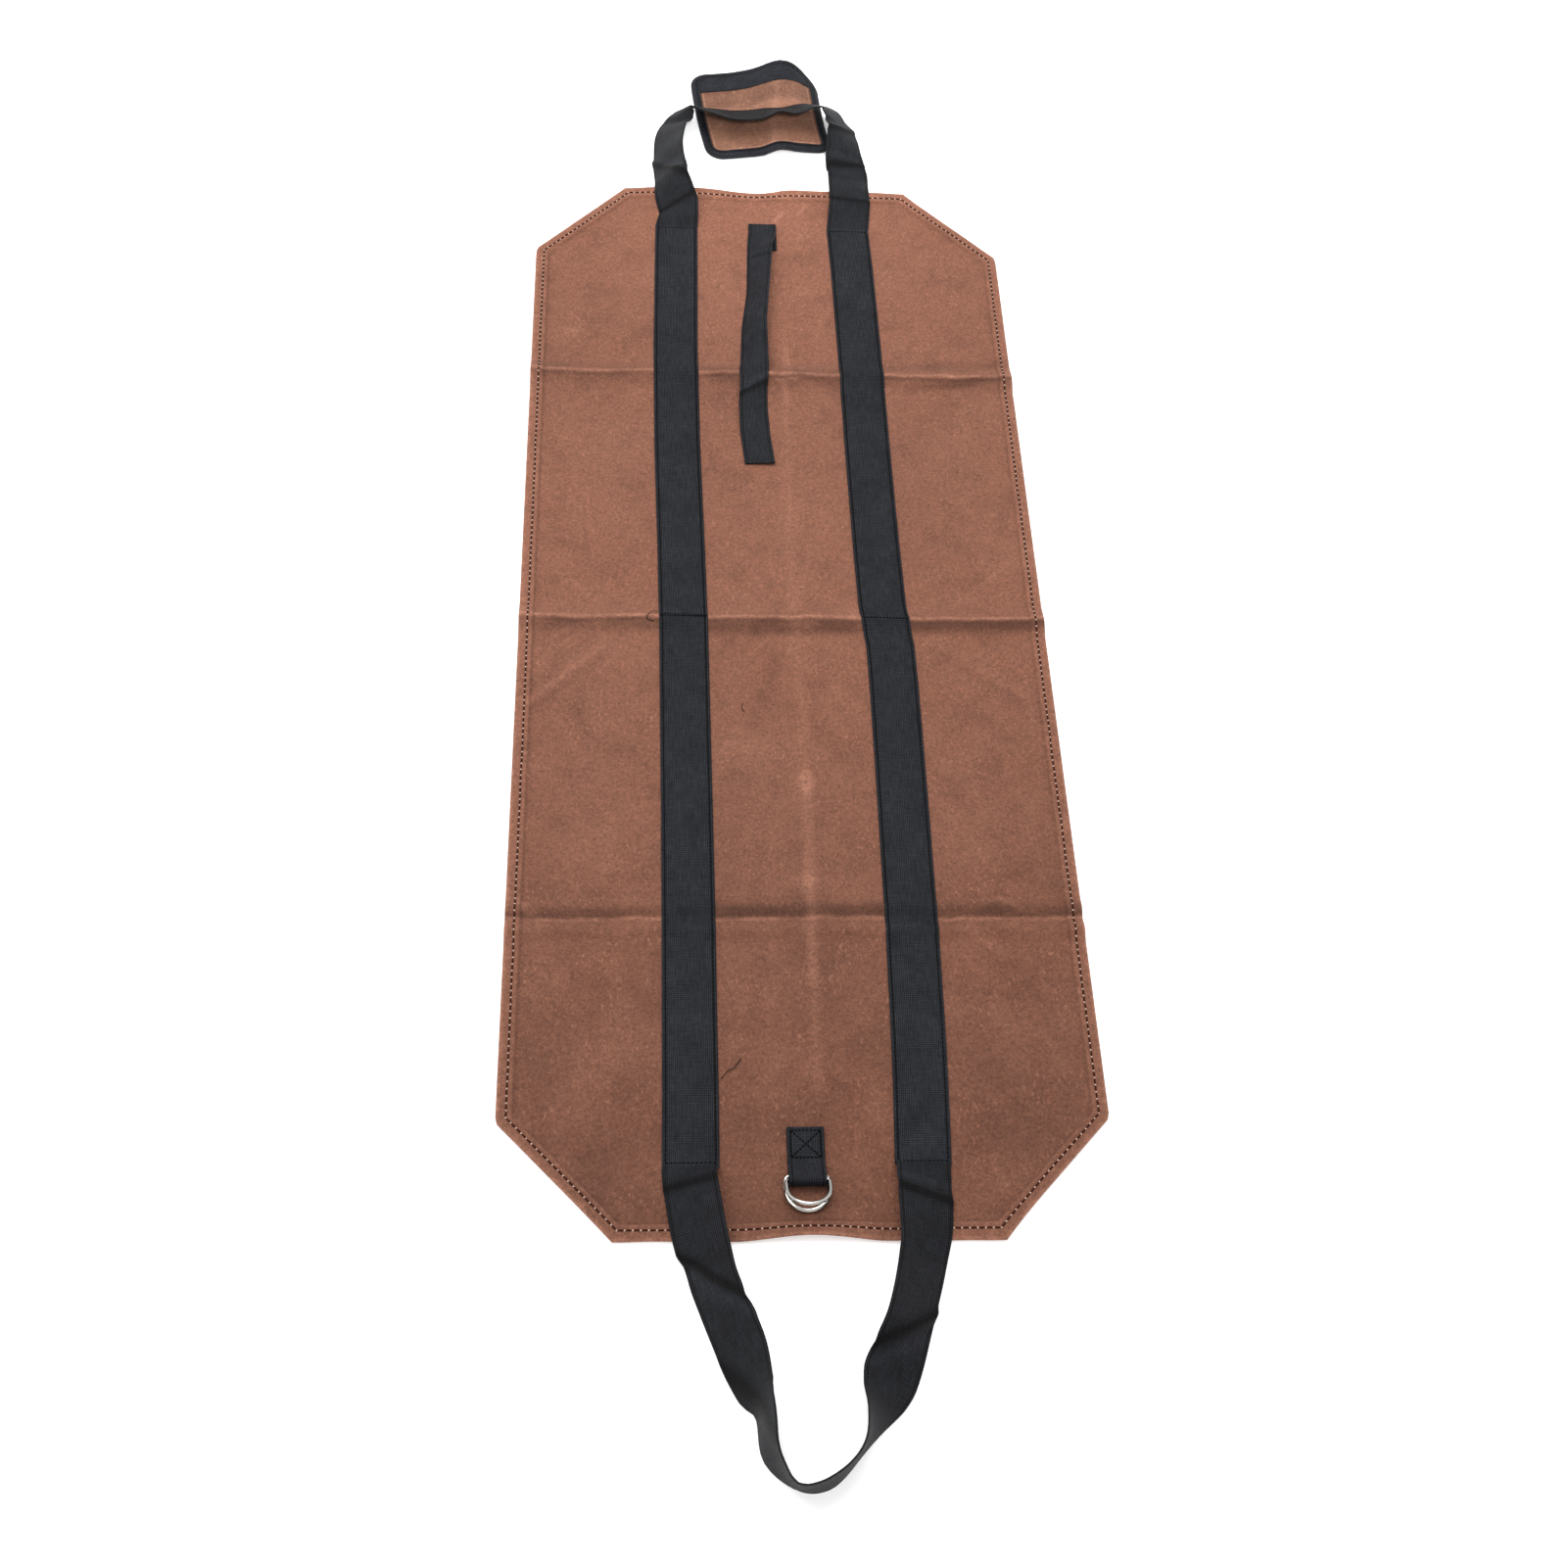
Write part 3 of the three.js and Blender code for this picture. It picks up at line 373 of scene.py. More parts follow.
def canvas_faces(x, y):
    """Heights of the panel's upper and lower face."""
    edge = edge_distance(x, y)
    base = canvas_lift(x, y) + relief(x, y)
    thick = CANVAS + CANVAS * smooth_step(HEM + 0.9, HEM - 0.9, edge)
    rounding = 0.45 * thick * (1 - math.sqrt(max(0, 1 - (1 - min(edge / 1.5, 1)) ** 2)))
    return base + thick - 0.45 * bell(edge - HEM_SEAM, 1.1) - rounding, base + rounding


# The grip wrap's form

def wrap_point(u, v):
    """A point of the wrap's middle surface: u from left to right, v from near to far."""
    nl, nr, fr, fl = ((a * WRAP_W, HALF_L + WRAP_STANDOFF + o * WRAP_D) for a, o, _ in WRAP_CORNERS)
    x, y = ((1 - u) * (1 - v) * nl[k] + u * (1 - v) * nr[k] + u * v * fr[k] + (1 - u) * v * fl[k] for k in (0, 1))
    rise = smooth_look_up(WRAP_RISE, u, 1) * (1 - v) + smooth_look_up(WRAP_RISE, u, 2) * v
    return (x - WRAP_BOW * 4 * v * (1 - v), y, WRAP_HEIGHT + WRAP_CREST * rise)


def wrap_offset(u, v, height):
    """A point that far above the middle surface."""
    left, right, near, far, here = (Vector(wrap_point(u + du, v + dv)) for du, dv in (
        (-0.01, 0), (0.01, 0), (0, -0.01), (0, 0.01), (0, 0)))
    return here + (right - left).cross(far - near).normalized() * height


def wrap_top(x, y):
    """Top of the wrap or its binding over a place, or the floor beside it."""
    u = v = 0.5
    for _ in range(6):
        here = wrap_point(u, v)
        u += (x - here[0]) / WRAP_W
        v += (y - here[1]) / WRAP_D
    over = BINDING_W / WRAP_D
    if u < -over or u > 1 + over or v < -over or v > 1 + over:
        return 0.0
    bound = min(u, 1 - u) < 2 * BINDING_W / WRAP_W
    thick = WRAP_T / 2 + (BINDING_GAP + BINDING_T if bound else 0)
    return wrap_point(clamp(u, 0, 1), clamp(v, 0, 1))[2] + thick + GAP / 2


def side_inset(side, v, within):
    """How far in a line runs that follows the wrap's rounded left (0) or right (1) side inside it."""
    radius = WRAP_CORNERS[side if v < 0.5 else 3 - side][2]
    into = clamp(max(0, radius - min(v, 1 - v)) / (radius - within / WRAP_D), 0, 1)
    return radius - (radius - within / WRAP_W) * math.sqrt(1 - into * into)


def wrap_row(v, within, steps):
    """Shares across the wrap at v, each with its share in from the nearer side, and the row's width."""
    left = side_inset(0, v, within)
    width = 1 - left - side_inset(1, v, within)
    return [(left + width * k / steps, min(k, steps - k) / steps) for k in range(steps + 1)], width


def wrap_border():
    """Places round the wrap's edge with the direction out of it."""
    middles = []
    for k, u, v in ((1, 1, 0), (2, 1, 1), (3, 0, 1), (0, 0, 0)):
        r = WRAP_CORNERS[k][2]
        middles.append((1 - r if u else r, 1 - r if v else r, r))
    border = []
    for side, (u, v, r) in enumerate(middles):
        for k in range(11):
            angle = (side - 1 + k / 10) * math.pi / 2
            out = (math.cos(angle), math.sin(angle))
            border.append((u + r * out[0], v + r * out[1], out))
        out = ((1, 0), (0, 1), (-1, 0), (0, -1))[side]
        next_u, next_v, next_r = middles[(side + 1) % 4]
        start = (u + r * out[0], v + r * out[1])
        end = (next_u + next_r * out[0], next_v + next_r * out[1])
        border += [(*(a + (b - a) * k / 40 for a, b in zip(start, end)), out) for k in range(1, 40)]
    return border


# The handle loops' form

def rest_height(x, y, outward, lean):
    """Lowest middle height of a leaning strip's low edge that clears what lies under it."""
    needed = []
    for k in range(-4, 5):
        from_low = (1 - k / 4) / 2 * BELT_W * math.sin(lean)
        aside = k / 4 * BELT_W / 2 * math.cos(lean)
        at = (x + outward[0] * aside, y + outward[1] * aside)
        needed.append(max(panel_top(*at), wrap_top(*at)) - from_low)
    top = max(needed)
    return (top + 2 * GAP if top > 0.1 else 0.0) + BELT_T / 2


def loop_stations(table, end, past):
    """Middles and width directions of one handle loop, the low outer edge on what lies under it."""
    points = [(a * HALF_SPACING, end * (HALF_L + p * past)) for p, a, _ in table]
    leans = [row[2] for row in table]
    fine = [k * (len(points) - 1) / 600 for k in range(601)]
    along = [0.0]
    spots = [spline(points, t)[0] for t in fine]
    for a, b in zip(spots, spots[1:]):
        along.append(along[-1] + math.dist(a, b))
    count = round(along[-1] / LOOP_STEP)
    samples, k = [], 0
    for i in range(count + 1):
        want = along[-1] * i / count
        while k < 599 and along[k + 1] < want:
            k += 1
        t = fine[k] + (fine[k + 1] - fine[k]) * (want - along[k]) / (along[k + 1] - along[k])
        (x, y), (hx, hy) = spline(points, t)
        size = math.hypot(hx, hy)
        outward = (hy / size, -hx / size)
        lean = math.radians(smooth_value(leans, t))
        samples.append((x, y, outward, lean, rest_height(x, y, outward, lean)))
    highest = [max(s[4] for s in samples[max(0, i - 2):i + 3]) for i in range(len(samples))]
    stations = []
    for i, (x, y, outward, lean, _) in enumerate(samples):
        near = highest[max(0, i - 1):i + 2]
        z = sum(near) / len(near) + BELT_W / 2 * math.sin(lean)
        stations.append(((x, y, z), (outward[0] * math.cos(lean), outward[1] * math.cos(lean), -math.sin(lean))))
    return stations


def resample(stations, step):
    """The same strip with stations an even step apart, on a smooth curve."""
    middles = [tuple(middle) for middle, _ in stations]
    made = []
    for i, ((a, side), (b, next_side)) in enumerate(zip(stations, stations[1:])):
        parts = max(1, round(math.dist(a, b) / step))
        for k in range(parts):
            turned = Vector(side).lerp(Vector(next_side), k / parts).normalized()
            made.append((tuple(spline(middles, i + k / parts)[0]), tuple(turned)))
    return made + [stations[-1]]


# Building meshes

def place(x, y, z):
    """A place in millimetres from the panel's middle, as a point in the row frame."""
    return (CENTRE_X + x * MM, CENTRE_Y + y * MM, z * MM)


def new_mesh(name, points, faces, material, uvs=None):
    """A smooth-shaded object from points and uvs in millimetres, with one (u, v) for each point."""
    mesh = bpy.data.meshes.new(name)
    mesh.from_pydata([place(*point) for point in points], [], faces)
    if uvs:
        layer = mesh.uv_layers.new(name="lay")
        for loop in mesh.loops:
            layer.data[loop.index].uv = [value * MM for value in uvs[loop.vertex_index]]
    made = bpy.data.objects.new(name, mesh)
    bpy.context.scene.collection.objects.link(made)
    bpy.ops.object.select_all(action="DESELECT")
    bpy.context.view_layer.objects.active = made
    made.select_set(True)
    bpy.ops.object.mode_set(mode="EDIT")
    bpy.ops.mesh.select_all(action="SELECT")
    bpy.ops.mesh.normals_make_consistent(inside=False)
    bpy.ops.object.mode_set(mode="OBJECT")
    bpy.ops.object.shade_smooth_by_angle(angle=math.radians(50))
    mesh.materials.append(material)
    return made


def point_values(made, name, values):
    """Stores one number for each point, for its material."""
    made.data.attributes.new(name, "FLOAT", "POINT").data.foreach_set("value", values)


def skin(count, rings, first=0, closed=False):
    """Faces of a tube of rings with count points each."""
    faces = []
    for r in range(rings if closed else rings - 1):
        for k in range(count):
            a, b = (first + r * count + i for i in (k, (k + 1) % count))
            c, d = (first + (r + 1) % rings * count + i for i in (k, (k + 1) % count))
            faces.append((a, b, d, c))
    return faces


def tube(count, rings, first=0):
    """The same with a flat cap at both ends."""
    last = first + (rings - 1) * count
    caps = [tuple(range(first + count - 1, first - 1, -1)), tuple(range(last, last + count))]
    return skin(count, rings, first) + caps


def cloth(name, grid, material):
    """A closed sheet from rows of (upper point, lower point, uv, and how much wear with painted highlight, painted
    shade and painted light it has).
    """
    rows, columns = len(grid), len(grid[0])
    cells = [cell for row in grid for cell in row]
    below = rows * columns
    faces = []
    for i in range(rows - 1):
        for j in range(columns - 1):
            a, b = i * columns + j, i * columns + j + 1
            c, d = b + columns, a + columns
            faces += [(a, b, c, d), (a + below, d + below, c + below, b + below)]
    rim = [*range(columns), *range(2 * columns - 1, below, columns)]
    rim += [*range(below - 2, below - columns - 1, -1), *range(below - 2 * columns, 0, -columns)]
    faces += [(a, a + below, b + below, b) for a, b in zip(rim, rim[1:] + rim[:1])]
    points = [cell[0] for cell in cells] + [cell[1] for cell in cells]
    made = new_mesh(name, points, faces, material, 2 * [cell[2] for cell in cells])
    for key, values in zip(("wear_and_highlight", "deep", "painted_light"), zip(*(cell[3] for cell in cells))):
        point_values(made, key, 2 * values)
    return made


def strip(name, stations, width, thick, material, shift):
    """A woven strip with rounded edges. Each station is its middle and the unit direction across it,
    and shift(station, share across, point, face direction) moves a point and says how much painted shade it gets."""
    points, uvs, deep = [], [], []
    along = 0.0
    for i, (middle, across) in enumerate(stations):
        before, after = stations[max(i - 1, 0)][0], stations[min(i + 1, len(stations) - 1)][0]
        if i:
            along += math.dist(middle, stations[i - 1][0])
        face = (Vector(after) - Vector(before)).cross(Vector(across)).normalized()
        for side, shares in ((1, SECTION), (-1, SECTION[-2:0:-1])):
            for share in shares:
                inside = max(0, (abs(share) - 0.93) / 0.07)
                rise = side * thick / 2 * math.sqrt(max(0, 1 - inside * inside))
                point = Vector(middle) + Vector(across) * share * width / 2 + face * rise
                moved, dark = shift(i, share, point, face)
                points.append(moved)
                deep.append(dark)
                uvs.append((share * width / 2, along))
    count = 2 * len(SECTION) - 2
    faces = skin(count, len(stations))
    for start in (0, (len(stations) - 1) * count):
        for k in range(len(SECTION) - 1):
            low = [start + (count - k - 1) % count, start + (count - k) % count]
            faces.append(tuple(dict.fromkeys([start + k, start + k + 1, *low])))
    made = new_mesh(name, points, faces, material, uvs)
    point_values(made, "deep", deep)
    return made


def stitches(name, runs, size, material, bulge):
    """Short rounded threads, each with a start and an end."""
    points, faces = [], []
    rings = [(0, 0.25), (0.12, 0.8), (0.5, 1), (0.88, 0.8), (1, 0.25)]
    for start, end in runs:
        start, end = Vector(start), Vector(end)
        side = (end - start).normalized().cross(UP).normalized()
        faces += tube(6, len(rings), len(points))
        for share, wide in rings:
            middle = start.lerp(end, share) + UP * bulge * math.sin(share * math.pi)
            for k in range(6):
                turn = math.pi * k / 3
                points.append(middle + (side * math.cos(turn) + UP * math.sin(turn)) * size / 2 * wide)
    return new_mesh(name, points, faces, material)


def thread(name, places, size, material):
    """A loose thread through places."""
    points = []
    rings = (len(places) - 1) * 8 + 1
    for i in range(rings):
        middle, heading = spline(places, i / 8)
        heading = Vector(heading).normalized()
        side = heading.cross(UP).normalized()
        up = side.cross(heading)
        for k in range(6):
            turn = math.pi * k / 3
            points.append(Vector(middle) + (side * math.cos(turn) + up * math.sin(turn)) * size / 2)
    return new_mesh(name, points, tube(6, rings), material)


def seam_line(start, end, pitch, height):
    """Stitches in a straight row between two places, at a height given for each place."""
    count = max(1, round(math.dist(start, end) / pitch))
    runs = []
    for k in range(count):
        run = []
        for share in ((k + 0.12) / count, (k + 0.85) / count):
            x, y = (a + (b - a) * share for a, b in zip(start, end))
            run.append((x, y, height(x, y)))
        runs.append(run)
    return runs


# Materials

def linear(code):
    """Linear colour of an sRGB hex code."""
    parts = [int(code[i:i + 2], 16) / 255 for i in (0, 2, 4)]
    return [p / 12.92 if p <= 0.04045 else ((p + 0.055) / 1.055) ** 2.4 for p in parts]


def toned(colour, *factors):
    """A colour with its parts multiplied, by one factor or by three."""
    return [part * factor for part, factor in zip(colour, factors if len(factors) == 3 else factors * 3)]


def connect(tree, node, inputs):
    """Sets a node's inputs to values or links them to other nodes' sockets."""
    for key, value in inputs.items():
        if isinstance(value, bpy.types.NodeSocket):
            tree.links.new(value, node.inputs[key])
        else:
            node.inputs[key].default_value = value


def add(tree, kind, inputs=None, **settings):
    """Adds a node with its settings, values and links."""
    made = tree.nodes.new("ShaderNode" + kind)
    for key, value in settings.items():
        setattr(made, key, value)
    connect(tree, made, inputs or {})
    return made


def new_material(name):
    """An empty node material and its surface shader."""
    made = bpy.data.materials.new(name)
    made.use_nodes = True
    tree = made.node_tree
    tree.nodes.clear()
    shader = add(tree, "BsdfPrincipled")
    add(tree, "OutputMaterial", {"Surface": shader.outputs["BSDF"]})
    return made, tree, shader


def mix_colour(tree, share, first, second, kind="MIX"):
    """Colour between two others."""
    first, second = (c if isinstance(c, bpy.types.NodeSocket) else (*c[:3], 1) for c in (first, second))
    return add(tree, "Mix", {0: share, 6: first, 7: second}, data_type="RGBA", blend_type=kind).outputs[2]


def lit_by(tree, colour, light):
    """A colour multiplied by a number."""
    grey = add(tree, "CombineXYZ", {0: light, 1: light, 2: light}).outputs[0]
    return mix_colour(tree, 1.0, colour, grey, "MULTIPLY")


def remap(tree, value, low, high, to_low=0.0, to_high=1.0):
    """A value moved from one range to another and kept inside it."""
    ranges = {"From Min": low, "From Max": high, "To Min": to_low, "To Max": to_high}
    return add(tree, "MapRange", {"Value": value, **ranges}, clamp=True).outputs["Result"]


def calculate(tree, operation, first, second=0.0):
    return add(tree, "Math", {0: first, 1: second}, operation=operation).outputs["Value"]


def multiply(tree, first, second):
    return calculate(tree, "MULTIPLY", first, second)


def cycle(tree, value, pitch):
    """A sine wave of a value in metres."""
    return calculate(tree, "SINE", multiply(tree, value, 2 * math.pi / pitch))


def noise_node(tree, where, scale, detail=3.0, rough=0.55):
    inputs = {"Vector": where, "Scale": scale, "Detail": detail, "Roughness": rough}
    return add(tree, "TexNoise", inputs).outputs["Fac"]


def patches(tree, where, scale, detail, rough, *ranges):
    """Noise moved from one range to another."""
    return remap(tree, noise_node(tree, where, scale, detail, rough), *ranges)


def stretched(tree, where, scale, turn=0.0):
    return add(tree, "Mapping", {"Vector": where, "Rotation": (0, 0, turn), "Scale": scale}).outputs["Vector"]


def attribute(tree, name):
    return add(tree, "Attribute", attribute_name=name).outputs["Fac"]


def bumps(tree, *layers):
    """Surface direction after bumps, each a height with its strength and its depth in metres."""
    below = {}
    for height, strength, depth in layers:
        made = add(tree, "Bump", {"Strength": strength, "Distance": depth, "Height": height, **below})
        below = {"Normal": made.outputs["Normal"]}
    return below["Normal"]


def waxed_canvas(name, colour, grain):
    """Waxed cotton canvas: dull, mottled by the wax, paler where it has been bent or rubbed, with painted highlight
    along its folds, painted shade in its dips and painted light over broad areas.
    """
    made, tree, shader = new_material(name)
    where = add(tree, "TexCoord").outputs["Object"]
    pale_tone = toned(colour, 2.7, 3.1, 3.4)
    # Broad clouds of more and less wax
    clouds = patches(tree, where, 9.0, 4.0, 0.6, 0.3, 0.72)
    base = mix_colour(tree, clouds, toned(colour, 0.86), toned(colour, 1.12))
    # Painted light: the panel paler from its near end toward its far half, and the grip wrap's lower half paler
    # under the belt's shade
    base = mix_colour(tree, attribute(tree, "painted_light"), base, toned(colour, 1.52, 1.56, 1.6))
    # Rubbed wisps, broad and small
    for scale, low, high in ((18.0, 0.46, 0.64), (70.0, 0.5, 0.66)):
        wisps = patches(tree, where, scale, 6.0, 0.75, low, high, 0.0, 0.3)
        base = mix_colour(tree, wisps, base, toned(colour, 1.6, 1.8, 1.95))
    shade = patches(tree, where, 30.0, 5.0, 0.7, 0.34, 0.5, 0.3, 0.0)
    base = mix_colour(tree, shade, base, toned(colour, 0.55))
    # Lint and short scratches, gathered here and there
    lint = patches(tree, stretched(tree, where, (1, 0.5, 1), 0.6), 430.0, 2.0, 0.6, 0.57, 0.7, 0.0, 0.5)
    gathered = patches(tree, where, 26.0, 3.0, 0.6, 0.42, 0.66, 0.12, 1.0)
    base = mix_colour(tree, multiply(tree, lint, gathered), base, pale_tone)
    # Bent and rubbed lines, with painted highlight along the folds and the outline
    ragged = patches(tree, where, 160.0, 4.0, 0.7, 0.35, 0.65, 0.35, 0.9)
    base = mix_colour(tree, multiply(tree, attribute(tree, "wear_and_highlight"), ragged), base, pale_tone)
    # Painted shade in the creases and dips
    base = mix_colour(tree, multiply(tree, attribute(tree, "deep"), 0.7), base, toned(colour, 0.42))
    # The yarns' grain
    coarse, fine = noise_node(tree, where, 0.6 / grain, 2.0, 0.8), noise_node(tree, where, 0.34 / grain, 3.0, 0.8)
    base = lit_by(tree, base, remap(tree, calculate(tree, "ADD", coarse, fine), 0.6, 1.4, 0.52, 1.48))
    # Plain weave: warp and weft over each other, with uneven yarns, and small wrinkles
    parts = add(tree, "SeparateXYZ", {"Vector": where}).outputs
    crossed = multiply(tree, cycle(tree, parts["X"], grain), cycle(tree, parts["Y"], grain))
    weave = calculate(tree, "ADD", multiply(tree, crossed, 0.35), noise_node(tree, where, 0.7 / grain, 2.0, 0.6))
    wrinkle = noise_node(tree, where, 120.0, 5.0, 0.65)
    connect(tree, shader, {
        "Base Color": base, "Roughness": remap(tree, clouds, 0.0, 1.0, 0.62, 0.8), "Specular IOR Level": 0.16,
        "Sheen Weight": 0.05, "Sheen Roughness": 0.5,
        "Normal": bumps(tree, (weave, 0.5, 0.0004), (wrinkle, 0.3, 0.001))})
    return made


def webbing(name, tone, rib, width, shine=0.6, fuzz=0.0):
    """Woven strap: dark yarns in fine lengthwise ribs crossed by the weft, with a line inside each edge."""
    made, tree, shader = new_material(name)
    where = add(tree, "UVMap", uv_map="lay").outputs["UV"]
    parts = add(tree, "SeparateXYZ", {"Vector": where}).outputs
    pitch = sizes().rib * rib
    ribs = multiply(tree, cycle(tree, parts["X"], pitch), 0.5)
    picks = multiply(tree, cycle(tree, parts["Y"], pitch * 1.25), 0.3)
    uneven = multiply(tree, noise_node(tree, where, 900.0, 2.0, 0.6), 0.6 + fuzz)
    height = calculate(tree, "ADD", calculate(tree, "ADD", ribs, picks), uneven)
    # The ribs' height painted into the colour: painted shade in the grooves and painted highlight on the raised
    # yarns, with uneven yarns
    light = remap(tree, height, -0.4, 1.0, 0.3, 1.8)
    # Uneven yarns: streaks along the strap and rows across it, and broad patches
    for scale, low, high in (((1, 0.08, 1), 0.65, 1.4), ((0.12, 1, 1), 0.72, 1.3)):
        streak = patches(tree, stretched(tree, where, scale), 1000.0, 2.0, 0.6, 0.3, 0.7, low, high)
        light = multiply(tree, light, streak)
    light = multiply(tree, light, patches(tree, where, 45.0, 3.0, 0.6, 0.3, 0.7, 0.8, 1.2))
    # Selvedge line inside each edge; then painted shade on the loops and in the creases, painted highlight where it
    # is below 0
    aside = calculate(tree, "SUBTRACT", calculate(tree, "ABSOLUTE", parts["X"]), width * MM / 2 - 0.0024)
    selvedge = remap(tree, calculate(tree, "ABSOLUTE", aside), 0.0003, 0.0011, 0.4, 1.0)
    light = multiply(tree, light, selvedge)
    light = multiply(tree, light, remap(tree, attribute(tree, "deep"), -0.5, 1.0, 1.4, 0.15))
    connect(tree, shader, {
        "Base Color": lit_by(tree, toned(colours().webbing, tone), light), "Roughness": shine,
        "Specular IOR Level": 0.1, "Sheen Weight": 0.02, "Sheen Roughness": 0.4,
        "Normal": bumps(tree, (height, 0.6, 0.0003))})
    return made


def sewing_thread(name, colour, tone=1.0):
    """Twisted sewing thread: a dull even colour with a little grain."""
    made, tree, shader = new_material(name)
    grain = patches(tree, add(tree, "TexCoord").outputs["Object"], 1500.0, 2.0, 0.55, 0.3, 0.7)
    mixed = mix_colour(tree, grain, toned(colour, tone * 0.7), toned(colour, tone * 1.3))
    connect(tree, shader, {"Base Color": mixed, "Roughness": 0.8, "Specular IOR Level": 0.1})
    return made


def plated_steel(name, colour):
    """Nickel-plated steel wire: bright where it faces the eye, with a painted dark reflection along its rims."""
    made, tree, shader = new_material(name)
    where = add(tree, "TexCoord").outputs["Object"]
    # Painted reflection: the colour darkens toward the rims
    rim = remap(tree, add(tree, "LayerWeight", {"Blend": 0.5}).outputs["Facing"], 0.25, 0.8)
    connect(tree, shader, {
        "Base Color": mix_colour(tree, rim, colour, toned(colour, 0.12)), "Metallic": 1.0,
        "Roughness": patches(tree, where, 300.0, 3.0, 0.55, 0.3, 0.7, 0.12, 0.26),
        "Normal": bumps(tree, (noise_node(tree, where, 500.0), 0.15, 0.0003))})
    return made


# What a user would change

def number(name, text, value, **settings):
    return bpy.props.FloatProperty(name=name, description=text, default=value, **settings)


def length(name, text, value, low):
    return number(name, text, value, min=low, unit="LENGTH")


def tint(name, text, code):
    return bpy.props.FloatVectorProperty(
        name=name, description=text, default=linear(code), subtype="COLOR", min=0, max=1)


class CarrierSizes(bpy.types.PropertyGroup):
    """Sizes of the cloth's detail."""
    stitch_pitch: length("Stitch pitch", "Distance from one hem stitch to the next", 0.0052, 0.002)
    thread_size: length("Thread", "Thickness of the sewing thread", 0.0014, 0.0003)
    rib: length("Webbing rib", "Distance from rib to rib across the webbing", 0.0013, 0.0004)
    grain: length("Canvas yarn", "Distance from yarn to yarn in the canvas", 0.0009, 0.0003)
    wrinkles: number("Wrinkles", "How deep the cloth's wrinkles are", 1.0, min=0.0, max=2.0, subtype="FACTOR")


class CarrierColours(bpy.types.PropertyGroup):
    """Colours of its parts."""
    canvas: tint("Canvas", "Colour of the waxed canvas", "6b4434")
    grip: tint("Grip canvas", "Colour of the grip wrap's canvas", "6e4b3a")
    webbing: tint("Webbing", "Colour of the straps", "202125")
    thread: tint("Thread", "Colour of the hem's thread", "38190f")
    # Painted highlight at the hem's needle holes, between its stitches
    needle_hole_highlight: tint("Lower thread", "Colour of the hem's thread between its stitches", "e2cbbb")
    steel: tint("Steel", "Colour of the rings", "d2cfc9")


class CarrierStage(bpy.types.PropertyGroup):
    """Floor and light of the picture."""
    floor_size: length("Floor", "Side of the floor", 12.0, 2.0)
    floor_glow: number("Floor glow", "Strength of the light table's own light", 0.42, min=0.0)
    light: number("Light", "Power of the large soft light, in watts", 44.0, min=0.0)
    fill: number("Fill", "Power of the small light on the grip wrap, in watts", 230.0, min=0.0)
    sky: number("Sky", "Strength of the light from all round", 0.75, min=0.0)


def sizes():
    return bpy.context.scene.carrier_sizes


def colours():
    return bpy.context.scene.carrier_colours


# The panel

def panel_rows():
    """Distances along the panel, closer where it bends."""
    rows = [HALF_L - step for step in EDGE_STEPS]
    y = rows[-1]
    while y > 1:
        from_fold = min(abs(abs(y) - abs(at) * PANEL_L) for at, _ in FOLDS)
        y -= 1.5 if from_fold < 9 else 2.6 if from_fold < 22 else 4.8
        rows.append(max(y, 0.0))
    return sorted({round(side * row, 3) for row in rows for side in (1, -1)})


def row_places(y):
    """Places across the panel at y, symmetrical about its middle."""
    slope = math.hypot(1, CUT_X / CUT_Y) if abs(y) > HALF_L - CUT_Y + 3 else 1
    right = [half_width(y) - step * slope for step in EDGE_STEPS]
    right += [right[-1] + (20 - right[-1]) * k / 34 for k in range(1, 35)]
    right += range(18, 0, -2)
    return [-x for x in right] + [0] + right[::-1]


def build_canvas():
    """The panel with its turned hem, as one sheet."""
    grid = []
    for y in panel_rows():
        row = []
        for x in row_places(y):
            high, low = canvas_faces(x, y)
            back = draw_back(x, y)
            marks = (paleness(x, y), painted_shade(x, y), painted_far_light(x, y))
            row.append(((x, back, high), (x, back, low), (x, y), marks))
        grid.append(row)
    return cloth("canvas_sheet", grid, waxed_canvas("waxed_canvas", colours().canvas, sizes().grain))


